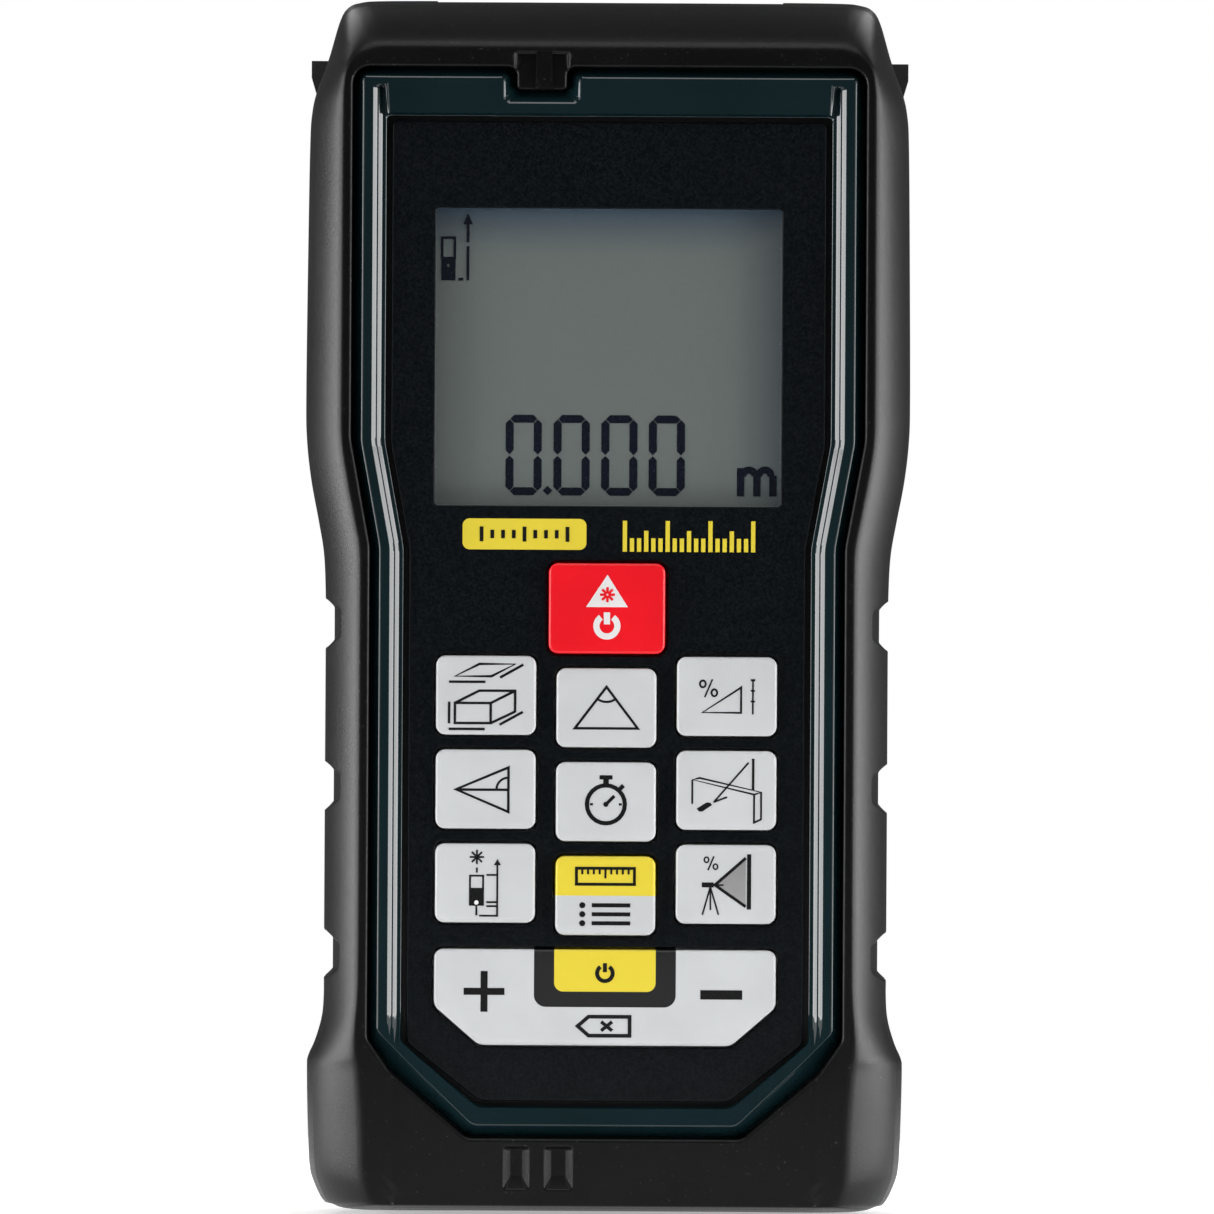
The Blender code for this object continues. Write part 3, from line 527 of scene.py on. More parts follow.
def dress_cad_nodes():
    """Gives every CAD node its slot's material, and softens the edges of those that stay."""
    slots = {entry["node"]: entry["material_slot"] for entry in frame["record"]["subparts"]}
    for name, obj in frame["nodes"].items():
        coat(obj, MATERIALS[slots[name]])
        weld = obj.modifiers.new("weld", "WELD")
        weld.merge_threshold = 0.002 * MM
        bevel = obj.modifiers.new("soft edges", "BEVEL")
        bevel.width = EDGE_SOFTNESS.get(name, USUAL_SOFTNESS) * MM
        bevel.segments = 2
        bevel.limit_method = "ANGLE"
        bevel.angle_limit = math.radians(40)
        bevel.use_clamp_overlap = True


# -------- rubber grips

# Right half of the rubber, from top to bottom: outer edge (x, z), then edge of the front lip (x, z)
RUBBER = (
    (0.01, 122.0, 0.01, 116.6), (12.0, 122.0, 11.5, 116.6), (22.5, 121.95, 20.5, 116.6),
    (25.2, 121.75, 22.8, 116.58), (26.5, 121.2, 23.9, 116.35), (27.3, 119.8, 25.2, 115.85),
    (28.4, 116.0, 26.2, 114.7), (29.5, 113.0, 26.5, 112.6), (30.05, 110.6, 26.5, 110.2),
    (30.25, 107.0, 26.5, 106.5), (30.4, 95.0, 26.5, 95.0), (30.5, 82.0, 26.5, 82.0),
    (30.4, 77.6, 26.42, 77.4), (29.95, 73.6, 25.85, 73.6), (29.2, 69.6, 25.08, 69.6),
    (28.65, 66.4, 24.58, 66.8), (28.45, 63.0, 24.5, 63.4), (28.4, 58.0, 24.5, 58.0),
    (28.4, 45.0, 24.5, 45.0), (28.4, 26.0, 24.5, 26.0), (28.4, 21.5, 24.6, 21.5),
    (28.62, 19.2, 24.75, 19.6), (29.3, 16.9, 24.8, 17.2), (29.95, 15.4, 24.6, 15.4),
    (30.05, 14.2, 24.35, 14.4), (29.95, 9.0, 23.9, 9.0), (29.75, 4.6, 23.8, 4.6),
    (29.3, 2.8, 23.7, 3.0), (28.4, 1.0, 23.3, 1.6), (27.6, 0.62, 22.9, 1.15), (24.5, 0.02, 21.5, 1.0),
    (12.0, 0.0, 11.0, 1.0), (0.01, 0.0, 0.01, 1.0),
)
# Side section: depth from the middle, share of the way from the outer edge to the lip
SECTION_BACK = ((0.02, 0.045), (0.2, 0.0), (5.0, 0.0), (7.5, 0.03), (9.3, 0.11))
SECTION_FRONT = (
    (9.3, 0.11), (10.53, 0.21), (11.77, 0.337), (12.94, 0.481), (13.93, 0.625), (14.7, 0.757),
    (15.2, 0.863), (15.39, 0.927), (15.46, 0.962), (15.49, 1.0), (HALF_DEPTH, 1.04),
    (HALF_DEPTH, 1.075),
)
NOTCHES = ((56.6, 61.6), (40.3, 45.2), (23.4, 28.3))
NOTCH_SPAN = (22.0, 63.0)
# Depth of a notch and length of its sloping ends, each at the side and near the front
NOTCH_DEPTHS, NOTCH_SLOPES = (0.87, 1.72), (0.85, 1.25)
RUBBER_WIDTH = 3.95
RUBBER_OPENING = (
    (25.7, 114.9, 1.7), (25.7, 77.6, 6.0), (23.75, 66.9, 6.0), (23.75, 17.6, 1.2), (21.5, 14.3, 2.0),
    (13.8, 7.7, 1.6),
)
REAR_OPENING = (
    (25.1, 115.2, 2.2), (25.1, 77.9, 6.0), (23.1, 67.2, 6.0), (23.1, 19.0, 4.0), (22.5, 14.0, 4.0),
    (22.5, 2.4, 1.6),
)
TAB_HALF, TAB_DROP = 2.52, 2.3
# Edge of the opening: radius, flat beside it, depth where the straight wall starts, and steps
EDGE_RADIUS, EDGE_FLAT, EDGE_DEPTH, EDGE_STEPS = 0.35, 0.06, 1.0, 4
# The jacket's thickness at its side and at its lip, the depth where it bends, and the parting gap
SIDE_WALL, LIP_WALL, WALL_BEND, PARTING_GAP = 1.9, 0.7, 9.9, 0.02
# Rings of a mark pocket: how far outside its rim or its floor, and how far below the face or the floor
POCKET_RIM = ((0.25, 0.0), (0.16, 0.0), (0.05, 0.05), (0.0, 0.16))
POCKET_FLOOR = ((0.1, -0.08), (0.0, 0.0))
POCKET_DEPTH = 0.65
MARK_POCKETS = ((-10.0, -7.55), (-5.9, -3.2))
# Recesses: half width of the lower one, and the slope's width of both
RIDGE_STEP, RECESS_RUN = 21.0, 0.3
# Only the flat face is set back: from depth FACE_LOW on, and fully from FACE_HIGH on
FACE_BACK, FACE_LOW, FACE_HIGH = 13.0, 13.6, 14.6
# The height that parts the upper end's recess from the lower end's
UPPER_END = 100.0


def notch_depth(z, depth, share):
    """How far the finger notches cut below the side surface, at a height and a depth."""
    for low, high in NOTCHES:
        end = min(z - low, high - z)
        if end > 0:
            floor = mix(*NOTCH_DEPTHS, smooth(depth, 4.0, 13.0))
            ramp = min(1.0, end / mix(*NOTCH_SLOPES, smooth(depth, 8.0, 12.0))) ** 0.8
            return max(0.0, floor * ramp - share * RUBBER_WIDTH)
    return 0.0


def rubber_outline():
    """The rubber's outline, with closer points where the notches are."""
    outline = []
    for point in spline(RUBBER, 0.5):
        if outline and NOTCH_SPAN[0] < point[1] < NOTCH_SPAN[1]:
            last = outline[-1]
            outline += [tuple(mix(a, b, t) for a, b in zip(last, point)) for t in (1 / 3, 2 / 3)]
        outline.append(point)
    return outline


def rubber_rings(side):
    """Sections of the rubber's outside, from the parting line to the lip."""
    outline = rubber_outline()
    count = len(outline)
    rings = []
    for depth, share in spline(SECTION_BACK, 1.3)[:-1] + spline(SECTION_FRONT, 0.2):
        right = []
        for i, (x, z, lip_x, lip_z) in enumerate(outline):
            before, after = outline[max(i - 1, 0)], outline[min(i + 1, count - 1)]
            along = Vector((after[0] - before[0], after[1] - before[1])).normalized()
            cut = notch_depth(z, depth, share)
            right.append((mix(x, lip_x, share) + along.y * cut, mix(z, lip_z, share) - along.x * cut))
        rings.append(ring(mirrored(right), side * depth))
    return rings


def tabbed(right, halves, drop, radii):
    """The corners of an outline with a tab down from its top edge, on the laser's line."""
    top, foot = right[0][1], right[0][1] - drop
    full = mirrored(right)
    for side, levels in ((-1, (0, 1)), (1, (1, 0))):
        for level in levels:
            z = (top, foot)[level]
            full.append((LASER_X + side * halves[level], z, radii[level]))
    return full


def add_pocket(bm, side, rim, floor):
    """A pocket in the face with a soft edge; gives the loop of its rim."""
    rings = [ring(inset(rim, -out), side * (HALF_DEPTH - down)) for out, down in POCKET_RIM]
    foot = HALF_DEPTH - POCKET_DEPTH
    rings += [ring(inset(floor, -out), side * (foot - down)) for out, down in POCKET_FLOOR]
    hole = skin(bm, rings)
    bm.faces.new(hole[-1])
    return hole[0]


def add_grip(bm, side, opening, pockets=()):
    """The jacket's skin: outside, lip, opening wall, and a plain inside under it."""
    outer = skin(bm, rubber_rings(side))
    edge = [ring(inset(opening, -EDGE_RADIUS - EDGE_FLAT), side * HALF_DEPTH)]
    for step in range(EDGE_STEPS + 1):
        angle = 0.5 * math.pi * step / EDGE_STEPS
        level = HALF_DEPTH - EDGE_RADIUS * (1 - math.cos(angle))
        edge.append(ring(inset(opening, -EDGE_RADIUS * (1 - math.sin(angle))), side * level))
    wall = [ring(opening, side * depth) for depth in (HALF_DEPTH - EDGE_DEPTH, FRONT_WALL_BACK)]
    inner = skin(bm, edge + wall)
    rims = [add_pocket(bm, side, *pocket) for pocket in pockets]
    fill(bm, outer[-1], inner[0], *rims)
    plain = spline(RUBBER, 2.0)
    side_line = inset(mirrored([point[:2] for point in plain]), SIDE_WALL)
    lip_line = inset(mirrored([point[2:] for point in plain]), LIP_WALL)
    levels = ((side_line, PARTING_GAP), (side_line, WALL_BEND), (lip_line, FRONT_WALL_BACK))
    inside = skin(bm, [ring(line, side * depth) for line, depth in levels])
    fill(bm, outer[0], inside[0])
    fill(bm, inside[-1], inner[-1])


def sight_rib():
    """The rib on the tab, which shows the laser's line and ends in a pyramid."""
    rings = []
    # Height, half width of the foot and of the crest, and the crest's depth
    for z, half, crest, top in (
        (116.4, 0.82, 0.7, 15.47),
        (113.9, 0.82, 0.7, 15.47),
        (113.5, 0.84, 0.6, 15.46),
        (112.85, 0.95, 0.1, 15.2),
        (112.7, 0.97, 0.05, 15.12),
    ):
        levels = ((-half, 15.0), (-half, 15.12), (-crest, top), (crest, top), (half, 15.12), (half, 15.0))
        rings.append([(LASER_X + 0.2 + x, -y, z) for x, y in levels])
    solid("sight_rib", rings, slot="rubber_grip")


def recess(bm, x0, x1, z1, drop, run):
    """Sets the front face back between x0 and x1 below z1, with sloping sides `run` wide."""
    upper = z1 > UPPER_END
    cuts = [(0, x) for x in (x0 - run, x0, x1, x1 + run)] + [(2, z) for z in (z1, z1 + run)]
    for axis, value in cuts:
        near = []
        for face in bm.faces:
            xs, ys, zs = zip(*(vert.co / MM for vert in face.verts))
            if max(ys) < -FACE_BACK and min(xs) < x1 + run and max(xs) > x0 - run and min(zs) < z1 + run:
                near.append(face)
        if upper:
            near = [face for face in near if face.verts[0].co.z > UPPER_END * MM]
        geometry = near + list({e for f in near for e in f.edges} | {v for f in near for v in f.verts})
        place, normal = [0, 0, 0], [0, 0, 0]
        place[axis], normal[axis] = value * MM, 1
        bmesh.ops.bisect_plane(bm, geom=geometry, plane_co=place, plane_no=normal, dist=1e-6)
    for vert in bm.verts:
        x, y, z = vert.co / MM
        if -y > FACE_LOW and (z > UPPER_END) == upper:
            share = smooth(x, x0 - run, x0) * (1 - smooth(x, x1, x1 + run))
            share *= (1 - smooth(z, z1, z1 + run)) * smooth(-y, FACE_LOW, FACE_HIGH)
            vert.co.y += drop * share * MM


LENS_WAY, LENS_WAY_DEPTHS = rectangle(0, 118.5, 34.9, 13, 0), (-7.85, 10.65)
LUG_DEPTHS = (-3.15, 1.75)
LUG_OUTLINE = ((30.35, 116.15), (30.35, 114.2), (29.85, 112.4), (25.6, 112.4), (25.6, 116.15))


def cut_top_end(obj):
    left = [(-x, z) for x, z in reversed(LUG_OUTLINE)]
    parts = [(LENS_WAY, *LENS_WAY_DEPTHS), (LUG_OUTLINE, *LUG_DEPTHS), (left, *LUG_DEPTHS)]
    cut_with(obj, f"{obj.name} cutter", parts)


def front_grip():
    opening = rounded(tabbed(RUBBER_OPENING, (TAB_HALF, TAB_HALF), TAB_DROP, (0.8, 0.5)), 5)
    pockets = []
    for x0, x1 in MARK_POCKETS:
        x, width = 0.5 * (x0 + x1), x1 - x0
        rim = rectangle(x, 4.75, width, 4.2, 0.3, 4)
        floor = rectangle(x, 5.2, width - 1.4, 2.6, 0.12, 4)
        pockets.append((rim, floor))
    bm = bmesh.new()
    add_grip(bm, -1, opening, pockets)
    recess(bm, -RIDGE_STEP, RIDGE_STEP, 20.0, 0.26, RECESS_RUN)
    recess(bm, LASER_X - TAB_HALF, LASER_X + TAB_HALF, 116.2, 0.42, RECESS_RUN)
    sight_rib()
    grip = to_object("front_grip_rubber", bm, slot="rubber_grip", replaced=["front_grip"])
    cut_top_end(grip)


def rear_grip():
    bm = bmesh.new()
    add_grip(bm, 1, rounded(mirrored(REAR_OPENING), 5))
    grip = to_object("rear_grip_rubber", bm, slot="rubber_grip", replaced=["rear_grip"])
    cut_with(grip, "bracket way", [(rectangle(0, 3.5, 16.2, 9.0, 0.6), 11.3, 17)])
    cut_top_end(grip)


# -------- bezel and panel


def bezel_outline(side_share, end_share):
    """An outline between the bezel's crest and the panel, with its sides and ends moved apart."""
    upper, lower = mix(24.5, 22.3, side_share), mix(22.6, 20.4, side_share)
    top, foot = mix(113.7, 110.0, end_share), mix(9.0, 10.85, end_share)
    low_x, high_x = mix(13.2, 12.75, end_share), mix(22.6, 20.35, end_share)
    high_z = mix(18.2, 17.35, end_share)
    slope = (high_z - foot) / (high_x - low_x)
    corner_z = foot + slope * (lower - low_x)
    right = [
        (21.6, top, 0),
        (upper, top, 0.5),
        (upper, min(112.7, top - 0.75), 0),
        (upper, 77.3, 6.0),
        (lower, 66.8, 6.0),
        (lower, 20.2, 0),
        (lower, corner_z, 1.0),
        (mix(lower, low_x, 0.25) + 0.05, mix(corner_z, foot, 0.25) - 0.05, 3.0),
        (low_x, foot, mix(1.6, 2.2, end_share)),
    ]
    if end_share > 0.5:
        return rounded(tabbed(right, (5.4, 4.6), 0.02, (0.005, 0.005)), 5)
    half, drop = 3.95 + 3.7 * end_share, 2.55
    return rounded(tabbed(right, (half, half), drop, (0.55, 0.55)), 5)


BEZEL_OPENING = (
    (21.6, 114.75, 0), (25.55, 114.75, 1.6), (25.55, 112.7, 0), (25.55, 77.6, 6.0), (23.6, 66.9, 6.0),
    (23.6, 20.2, 0), (23.6, 17.7, 1.2), (21.4, 14.45, 2.0), (13.75, 7.85, 1.6),
)
# Share of the way from the crest to the panel on the sides, the same on the ends, and depth
BEZEL_PROFILE = (
    (-0.15, -0.09, 14.96), (-0.10, -0.06, 15.065), (-0.05, -0.03, 15.135), (0.0, 0.0, 15.175),
    (0.04, 0.02, 15.195), (0.08, 0.045, 15.2), (0.34, 0.06, 15.2), (0.365, 0.065, 15.19),
    (0.385, 0.07, 15.16), (0.48, 0.075, 15.0), (0.56, 0.08, 14.865), (0.575, 0.085, 14.85),
    (0.59, 0.09, 14.87), (0.615, 0.095, 14.87), (0.63, 0.10, 14.84), (0.72, 0.105, 14.69),
    (0.80, 0.11, 14.555), (0.82, 0.115, 14.535), (0.84, 0.12, 14.555), (0.87, 0.13, 14.555),
    (0.95, 0.93, 14.5), (0.985, 0.975, 14.48), (1.0, 1.0, 14.42), (1.0, 1.0, 13.5),
)
END_DEPTH = 15.2
# Gap beside the rubber's tab, and depths of the straight outer wall
TAB_GAP, BEZEL_WALL = 0.15, (13.3, 13.9)


def bezel_frame():
    """Glossy frame: outer slope, crest, flat band, then on the sides a stepped chamfer."""
    half = TAB_HALF + TAB_GAP
    opening = rounded(tabbed(BEZEL_OPENING, (half, half), TAB_DROP, (0.7, 0.35)), 5)
    levels = [ring(opening, -depth) for depth in BEZEL_WALL]
    for side_share, end_share, depth in BEZEL_PROFILE:
        end_depth = END_DEPTH if 0.04 < end_share < 0.95 else depth
        level = []
        for x, z in bezel_outline(side_share, end_share):
            bar = smooth(z, 108.5, 109.6) * (1 - smooth(abs(x), 21.7, 22.6))
            end = max(smooth(z, 112.8, 113.1), smooth(20.0 - z, 0.0, 1.5), bar)
            level.append((x, -mix(depth, end_depth, end), z))
        levels.append(level)
    bm = bmesh.new()
    add_solid(bm, levels, around=True)
    to_object("bezel_frame_gloss", bm, angle=50, slot="bezel_gloss", replaced=["bezel_frame"])


PANEL_CORNERS = (
    (21.75, 109.5, 0.55), (21.75, 77.1, 6.0), (19.85, 66.7, 6.0), (19.85, 17.15, 0.8),
    (12.5, 11.35, 2.0),
)
ROCKER_CORNERS = ((17.1, 26.6, 0.9), (17.1, 20.9, 1.3), (12.6, 17.0, 1.6))
SCREEN = (0.0, 85.9, 34.7, 29.8)  # x, z, width and height
KEY_GAP, HOLE_EDGE = 0.25, 0.12


def rocker_outline(grow=0.0):
    return inset(rounded(mirrored(ROCKER_CORNERS), 7), -grow)


def face_panel():
    outline = rounded(mirrored(PANEL_CORNERS))
    bm = bmesh.new()
    back = ring(outline, -FRONT_WALL_BACK)
    flat = ring(inset(outline, 0.4), -PANEL_FACE)
    outer = skin(bm, [back] + rounded_edge(outline, -PANEL_FACE, 0.2, -1) + [flat])
    clearance = 2 * KEY_GAP
    holes = [rectangle(x, z, w + clearance, h + clearance, 1.15) for name, x, z, (w, h), draw in KEYS]
    holes += [rocker_outline(KEY_GAP), rectangle(*SCREEN, 0.35, 5)]
    fronts, backs = [], []
    for hole in holes:
        rings = [ring(hole, -FRONT_WALL_BACK)]
        for step in range(4):
            angle = 0.5 * math.pi * step / 3
            level = PANEL_FACE - HOLE_EDGE * (1 - math.sin(angle))
            rings.append(ring(inset(hole, -HOLE_EDGE * (1 - math.cos(angle))), -level))
        rings.append(ring(inset(hole, -0.3), -PANEL_FACE))
        loops = skin(bm, rings)
        backs.append(loops[0])
        fronts.append(loops[-1])
    fill(bm, outer[-1], *fronts)
    fill(bm, outer[0], *backs)
    to_object("face_panel_coated", bm, slot="panel_film", replaced=["face_panel"])


# -------- printing

INK_GAIN = 1.25  # printed lines are this much wider than drawn ones
INK_ROOT = 0.05  # depth of the ink below its face
INK_STEP = 0.0008  # each shape stands this much above the one before, so none share a face


class Print:
    """Ink shapes on a front face, each a thin prism, gathered into one piece."""

    def __init__(self, name, body, ink, slot, x=0.0, z=0.0, face=KEY_FACE, lift=0.02):
        self.bm = bmesh.new()
        self.name = name
        self.options = {"body": body, "slot": slot, "material": INK[ink]}
        self.x, self.z = x, z
        self.front, self.back = -face - lift, -face + INK_ROOT

    def area(self, points):
        self.front -= INK_STEP
        moved = [(self.x + x, self.z + z) for x, z in points]
        add_solid(self.bm, (ring(moved, self.front), ring(moved, self.back)))

    def line(self, points, width=0.2, closed=False):
        """A line of even width through the points, with mitred corners."""
        width *= INK_GAIN
        count = len(points)
        left, right = [], []
        for i, point in enumerate(points):
            here = Vector(point)
            first = here - Vector(points[i - 1]) if closed or i else None
            second = Vector(points[(i + 1) % count]) - here if closed or i < count - 1 else None
            first, second = first or second, second or first
            first, second = first.normalized(), second.normalized()
            normals = Vector((-first.y, first.x)), Vector((-second.y, second.x))
            mitre = (normals[0] + normals[1]) / max(0.35, 1 + normals[0].dot(normals[1]))
            left.append(tuple(here + mitre * 0.5 * width))
            right.append(tuple(here - mitre * 0.5 * width))
        if closed:
            self.front -= INK_STEP
            sides = [[(self.x + x, self.z + z) for x, z in edge] for edge in (left, right)]
            rings = [ring(sides[0], self.front), ring(sides[1], self.front)]
            rings += [ring(sides[1], self.back), ring(sides[0], self.back)]
            add_solid(self.bm, rings, around=True)
        else:
            self.area(left + right[::-1])

    def arc(self, x, z, radius, start, end, width=0.2, steps=16):
        points = []
        for step in range(steps + 1):
            angle = math.radians(mix(start, end, step / steps))
            points.append((x + radius * math.cos(angle), z + radius * math.sin(angle)))
        self.line(points, width)

    def loop(self, x, z, radius, width=0.2, stretch=1.0):
        self.line([(x + px, z + pz * stretch) for px, pz in circle(0, 0, radius, 24)], width, True)

    def disc(self, x, z, radius):
        self.area(circle(x, z, radius, 24))

    def star(self, x, z, inner, outer, width):
        for step in range(8):
            angle = math.pi * step / 4
            direction = (math.cos(angle), math.sin(angle))
            self.line([(x + radius * direction[0], z + radius * direction[1])
                       for radius in (inner, outer)], width)

    def percent(self, x, z, scale):
        self.loop(x - 0.55 * scale, z + 0.42 * scale, 0.27 * scale, 0.15 * scale, 1.2)
        self.loop(x + 0.55 * scale, z - 0.42 * scale, 0.27 * scale, 0.15 * scale, 1.2)
        self.line([(x - 0.36 * scale, z - 0.85 * scale), (x + 0.36 * scale, z + 0.85 * scale)], 0.13)

    def done(self):
        to_object(self.name, self.bm, angle=30, **self.options)


def draw_area_volume(ink):
    ink.line([(-3.11, 1.9), (-0.67, 3.13), (2.9, 3.13), (0.52, 1.9)], 0.2, True)
    ink.line([(-3.72, 1.34), (-0.06, 1.34)])
    ink.line([(1.39, 1.78), (3.72, 3.08)])
    ink.line([(-3.11, -0.78), (0.47, -0.78), (0.47, -2.79), (-3.11, -2.79)], 0.2, True)
    ink.line([(-3.11, -0.78), (-0.67, 0.46), (2.91, 0.46), (2.91, -1.62), (0.47, -2.79)])
    ink.line([(2.91, 0.46), (0.47, -0.78)])
    ink.line([(-3.69, -0.66), (-3.69, -2.82)])
    ink.line([(-3.72, -3.38), (-0.11, -3.38)])
    ink.line([(1.36, -2.94), (3.69, -1.65)])


def draw_triangle(ink):
    ink.line([(0.0, 2.1), (3.15, -2.05), (-3.15, -2.05)], 0.2, True)
    ink.arc(0.0, 2.1, 1.5, -127, -53, 0.18)


def draw_slope(ink):
    ink.percent(-1.84, 0.82, 1.05)
    ink.line([(-2.45, -1.6), (1.42, 0.92), (1.42, -1.62)], 0.16, True)
    ink.line([(2.6, 1.66), (2.6, -1.77)], 0.13)
    ink.line([(2.38, 1.66), (2.82, 1.66)], 0.16)
    for z in (0.59, -0.48):
        ink.line([(2.38, z), (2.82, z)], 0.12)
        ink.disc(2.6, z, 0.13)


def draw_pythagoras(ink):
    ink.line([(-2.97, -0.03), (2.29, 2.19), (2.29, -2.26)], 0.2, True)
    ink.line([(-2.8, -0.05), (2.29, -0.05)])
    ink.arc(2.29, -0.03, 1.19, 90, 180, 0.18)


def draw_timer(ink):
    ink.loop(0.0, -0.25, 1.9, 0.34)
    ink.line([(0.0, 1.6), (0.0, 2.35)], 0.45)
    ink.line([(-0.65, 2.45), (0.65, 2.45)], 0.34)
    ink.line([(1.35, 1.25), (1.75, 1.65)], 0.34)
    ink.line([(0.0, -0.25), (0.85, 0.6)], 0.26)
    ink.disc(0.0, -0.25, 0.26)
    for side in (-1, 1):
        ink.line([(side * 1.3, -0.25), (side * 1.6, -0.25)], 0.18)


def draw_trapezoid(ink):
    ink.line([(-3.37, 1.07), (-2.69, 1.25), (3.48, -0.15), (2.78, -0.39)], 0.15, True)
    ink.line([(-3.41, 1.05), (-3.41, -1.34)], 0.15)
    ink.line([(2.78, -0.39), (2.78, -3.2), (3.48, -2.87), (3.48, -0.15)], 0.15)
    ink.line([(2.67, 3.2), (2.67, 0.06)], 0.2)
    ink.line([(2.21, 2.8), (-1.25, -1.16)], 0.14)
    ink.line([(-1.25, -1.16), (0.07, -0.66)], 0.14)
    ink.area([(-2.95, -1.82), (-1.98, -1.2), (-1.62, -1.22), (-1.42, -1.45), (-2.4, -2.12), (-2.75, -2.1)])


def draw_reference(ink):
    ink.star(-0.82, 2.61, 0.0, 0.72, 0.15)
    ink.line([(-0.82, 1.95), (-0.82, 2.2)], 0.15)
    ink.line([(-0.82, 1.05), (-0.82, 1.55)], 0.15)
    ink.line([(-1.5, 0.74), (-0.19, 0.74), (-0.19, -2.17), (-1.5, -2.17)], 0.15, True)
    ink.area([(-1.55, -0.48), (-0.14, -0.48), (-0.14, -2.2), (-1.55, -2.2)])
    ink.line([(-0.85, -2.2), (-0.85, -3.23)], 0.15)
    ink.line([(1.23, 1.9), (1.23, -3.26), (-0.56, -3.26)], 0.15)
    ink.area([(0.88, 1.8), (1.23, 2.42), (1.58, 1.8)])
    for z in (0.82, -1.9, -2.3):
        ink.line([(0.14, z), (1.2, z)], 0.15)


def draw_profile(ink):
    ink.percent(-1.5, 2.12, 0.82)
    ink.area([(-2.4, 0.2), (-1.22, 0.2), (-1.22, -0.3), (-2.4, -0.3)])
    for x, z in ((-2.34, -3.04), (-1.53, -2.58), (-0.72, -3.04)):
        ink.line([(-1.55, -0.25), (x, z)], 0.13)
    ink.line([(1.99, 2.65), (-1.09, -0.06), (1.99, -2.21)], 0.24)
    ink.line([(2.32, 3.04), (2.32, -2.49)], 0.33)
    ink.line([(-1.05, -0.06), (-0.22, -0.06)], 0.13)


def draw_units_history(ink):
    """A ruler on the yellow half, and a list of earlier results on the grey half."""
    ink.line([(-2.9, 2.75), (2.9, 2.75), (2.9, 1.15), (-2.9, 1.15)], 0.24, True)
    for step in range(1, 10):
        length = 0.95 if step % 5 == 0 else 0.55
        x = mix(-2.9, 2.9, step / 10)
        ink.line([(x, 2.7), (x, 2.7 - length)], 0.17)
    for z in (-0.95, -1.85, -2.75):
        ink.line([(-1.35, z), (2.5, z)], 0.32)
        ink.disc(-2.3, z, 0.3)


def power_mark(ink, x, z, radius, width):
    ink.arc(x, z, radius, 125, 415, width, 28)
    ink.line([(x, z + 0.15 * radius), (x, z + 1.3 * radius)], width)


def draw_measure(ink):
    ink.area([(0.04, 3.37), (2.1, 0.14), (-2.1, 0.14)])
    power_mark(ink, 0.0, -1.75, 1.05, 0.5)


def draw_rocker(ink):
    """Plus, minus, a small power mark on the middle, and an eraser tag under it."""
    arm, half = 2.04, 0.35
    corners = ((half, arm), (half, half), (arm, half), (arm, -half), (half, -half), (half, -arm))
    corners += tuple((-x, -z) for x, z in corners)
    ink.area([(x - 12.08, z + 22.37) for x, z in corners])
    ink.line([(9.56, 22.15), (13.75, 22.15)], 0.75)
    power_mark(ink, 0.0, 24.25, 0.78, 0.32)
    ink.line([(-1.6, 18.0), (-2.7, 18.95), (-1.6, 19.9), (2.5, 19.9), (2.5, 18.0)], 0.3, True)
    ink.line([(-0.35, 18.5), (0.75, 19.4)], 0.28)
    ink.line([(-0.35, 19.4), (0.75, 18.5)], 0.28)


# -------- keys

KEY_SIZE, KEY_CORNER, KEY_FLANGE = (10.0, 7.9), 0.95, 0.7
COLUMN = 12.05
# Name, x, z, (width, height), and what is drawn on it
KEYS = (
    ("measure_key", 0.0, 60.75, (11.66, 9.06), draw_measure),
    ("area_volume_key", -COLUMN, 52.0, KEY_SIZE, draw_area_volume),
    ("triangle_key", 0.0, 50.8, KEY_SIZE, draw_triangle),
    ("slope_key", COLUMN, 52.0, KEY_SIZE, draw_slope),
    ("pythagoras_key", -COLUMN, 42.6, KEY_SIZE, draw_pythagoras),
    ("timer_key", 0.0, 41.4, KEY_SIZE, draw_timer),
    ("trapezoid_key", COLUMN, 42.6, KEY_SIZE, draw_trapezoid),
    ("reference_key", -COLUMN, 33.2, KEY_SIZE, draw_reference),
    ("units_history_key", 0.0, 32.0, KEY_SIZE, draw_units_history),
    ("profile_key", COLUMN, 33.2, KEY_SIZE, draw_profile),
)


def key_rings(outline):
    flange = inset(outline, -KEY_FLANGE)
    rings = [ring(flange, -FLANGE_BACK), ring(flange, -FLANGE_FRONT), ring(outline, -FLANGE_FRONT)]
    rings += rounded_edge(outline, -KEY_FACE + 0.02, 0.32, -1)
    rings.append(ring(inset(outline, 0.9), -KEY_FACE))
    return rings


def keys():
    two_colours = paint_areas("two-colour key", UNITS_AREAS)
    for name, x, z, (width, height), draw in KEYS:
        slot, ink = ("key_red", "white") if name == "measure_key" else ("key_grey", "black")
        rings = key_rings(rectangle(x, z, width, height, KEY_CORNER))
        paint = two_colours if name == "units_history_key" else None
        solid(f"{name}_cap", rings, body=name, slot=slot, replaced=[name], material=paint)
        legend = Print(f"{name}_legend", name, ink, slot, x, z)
        draw(legend)
        legend.done()
    paint_key_details()


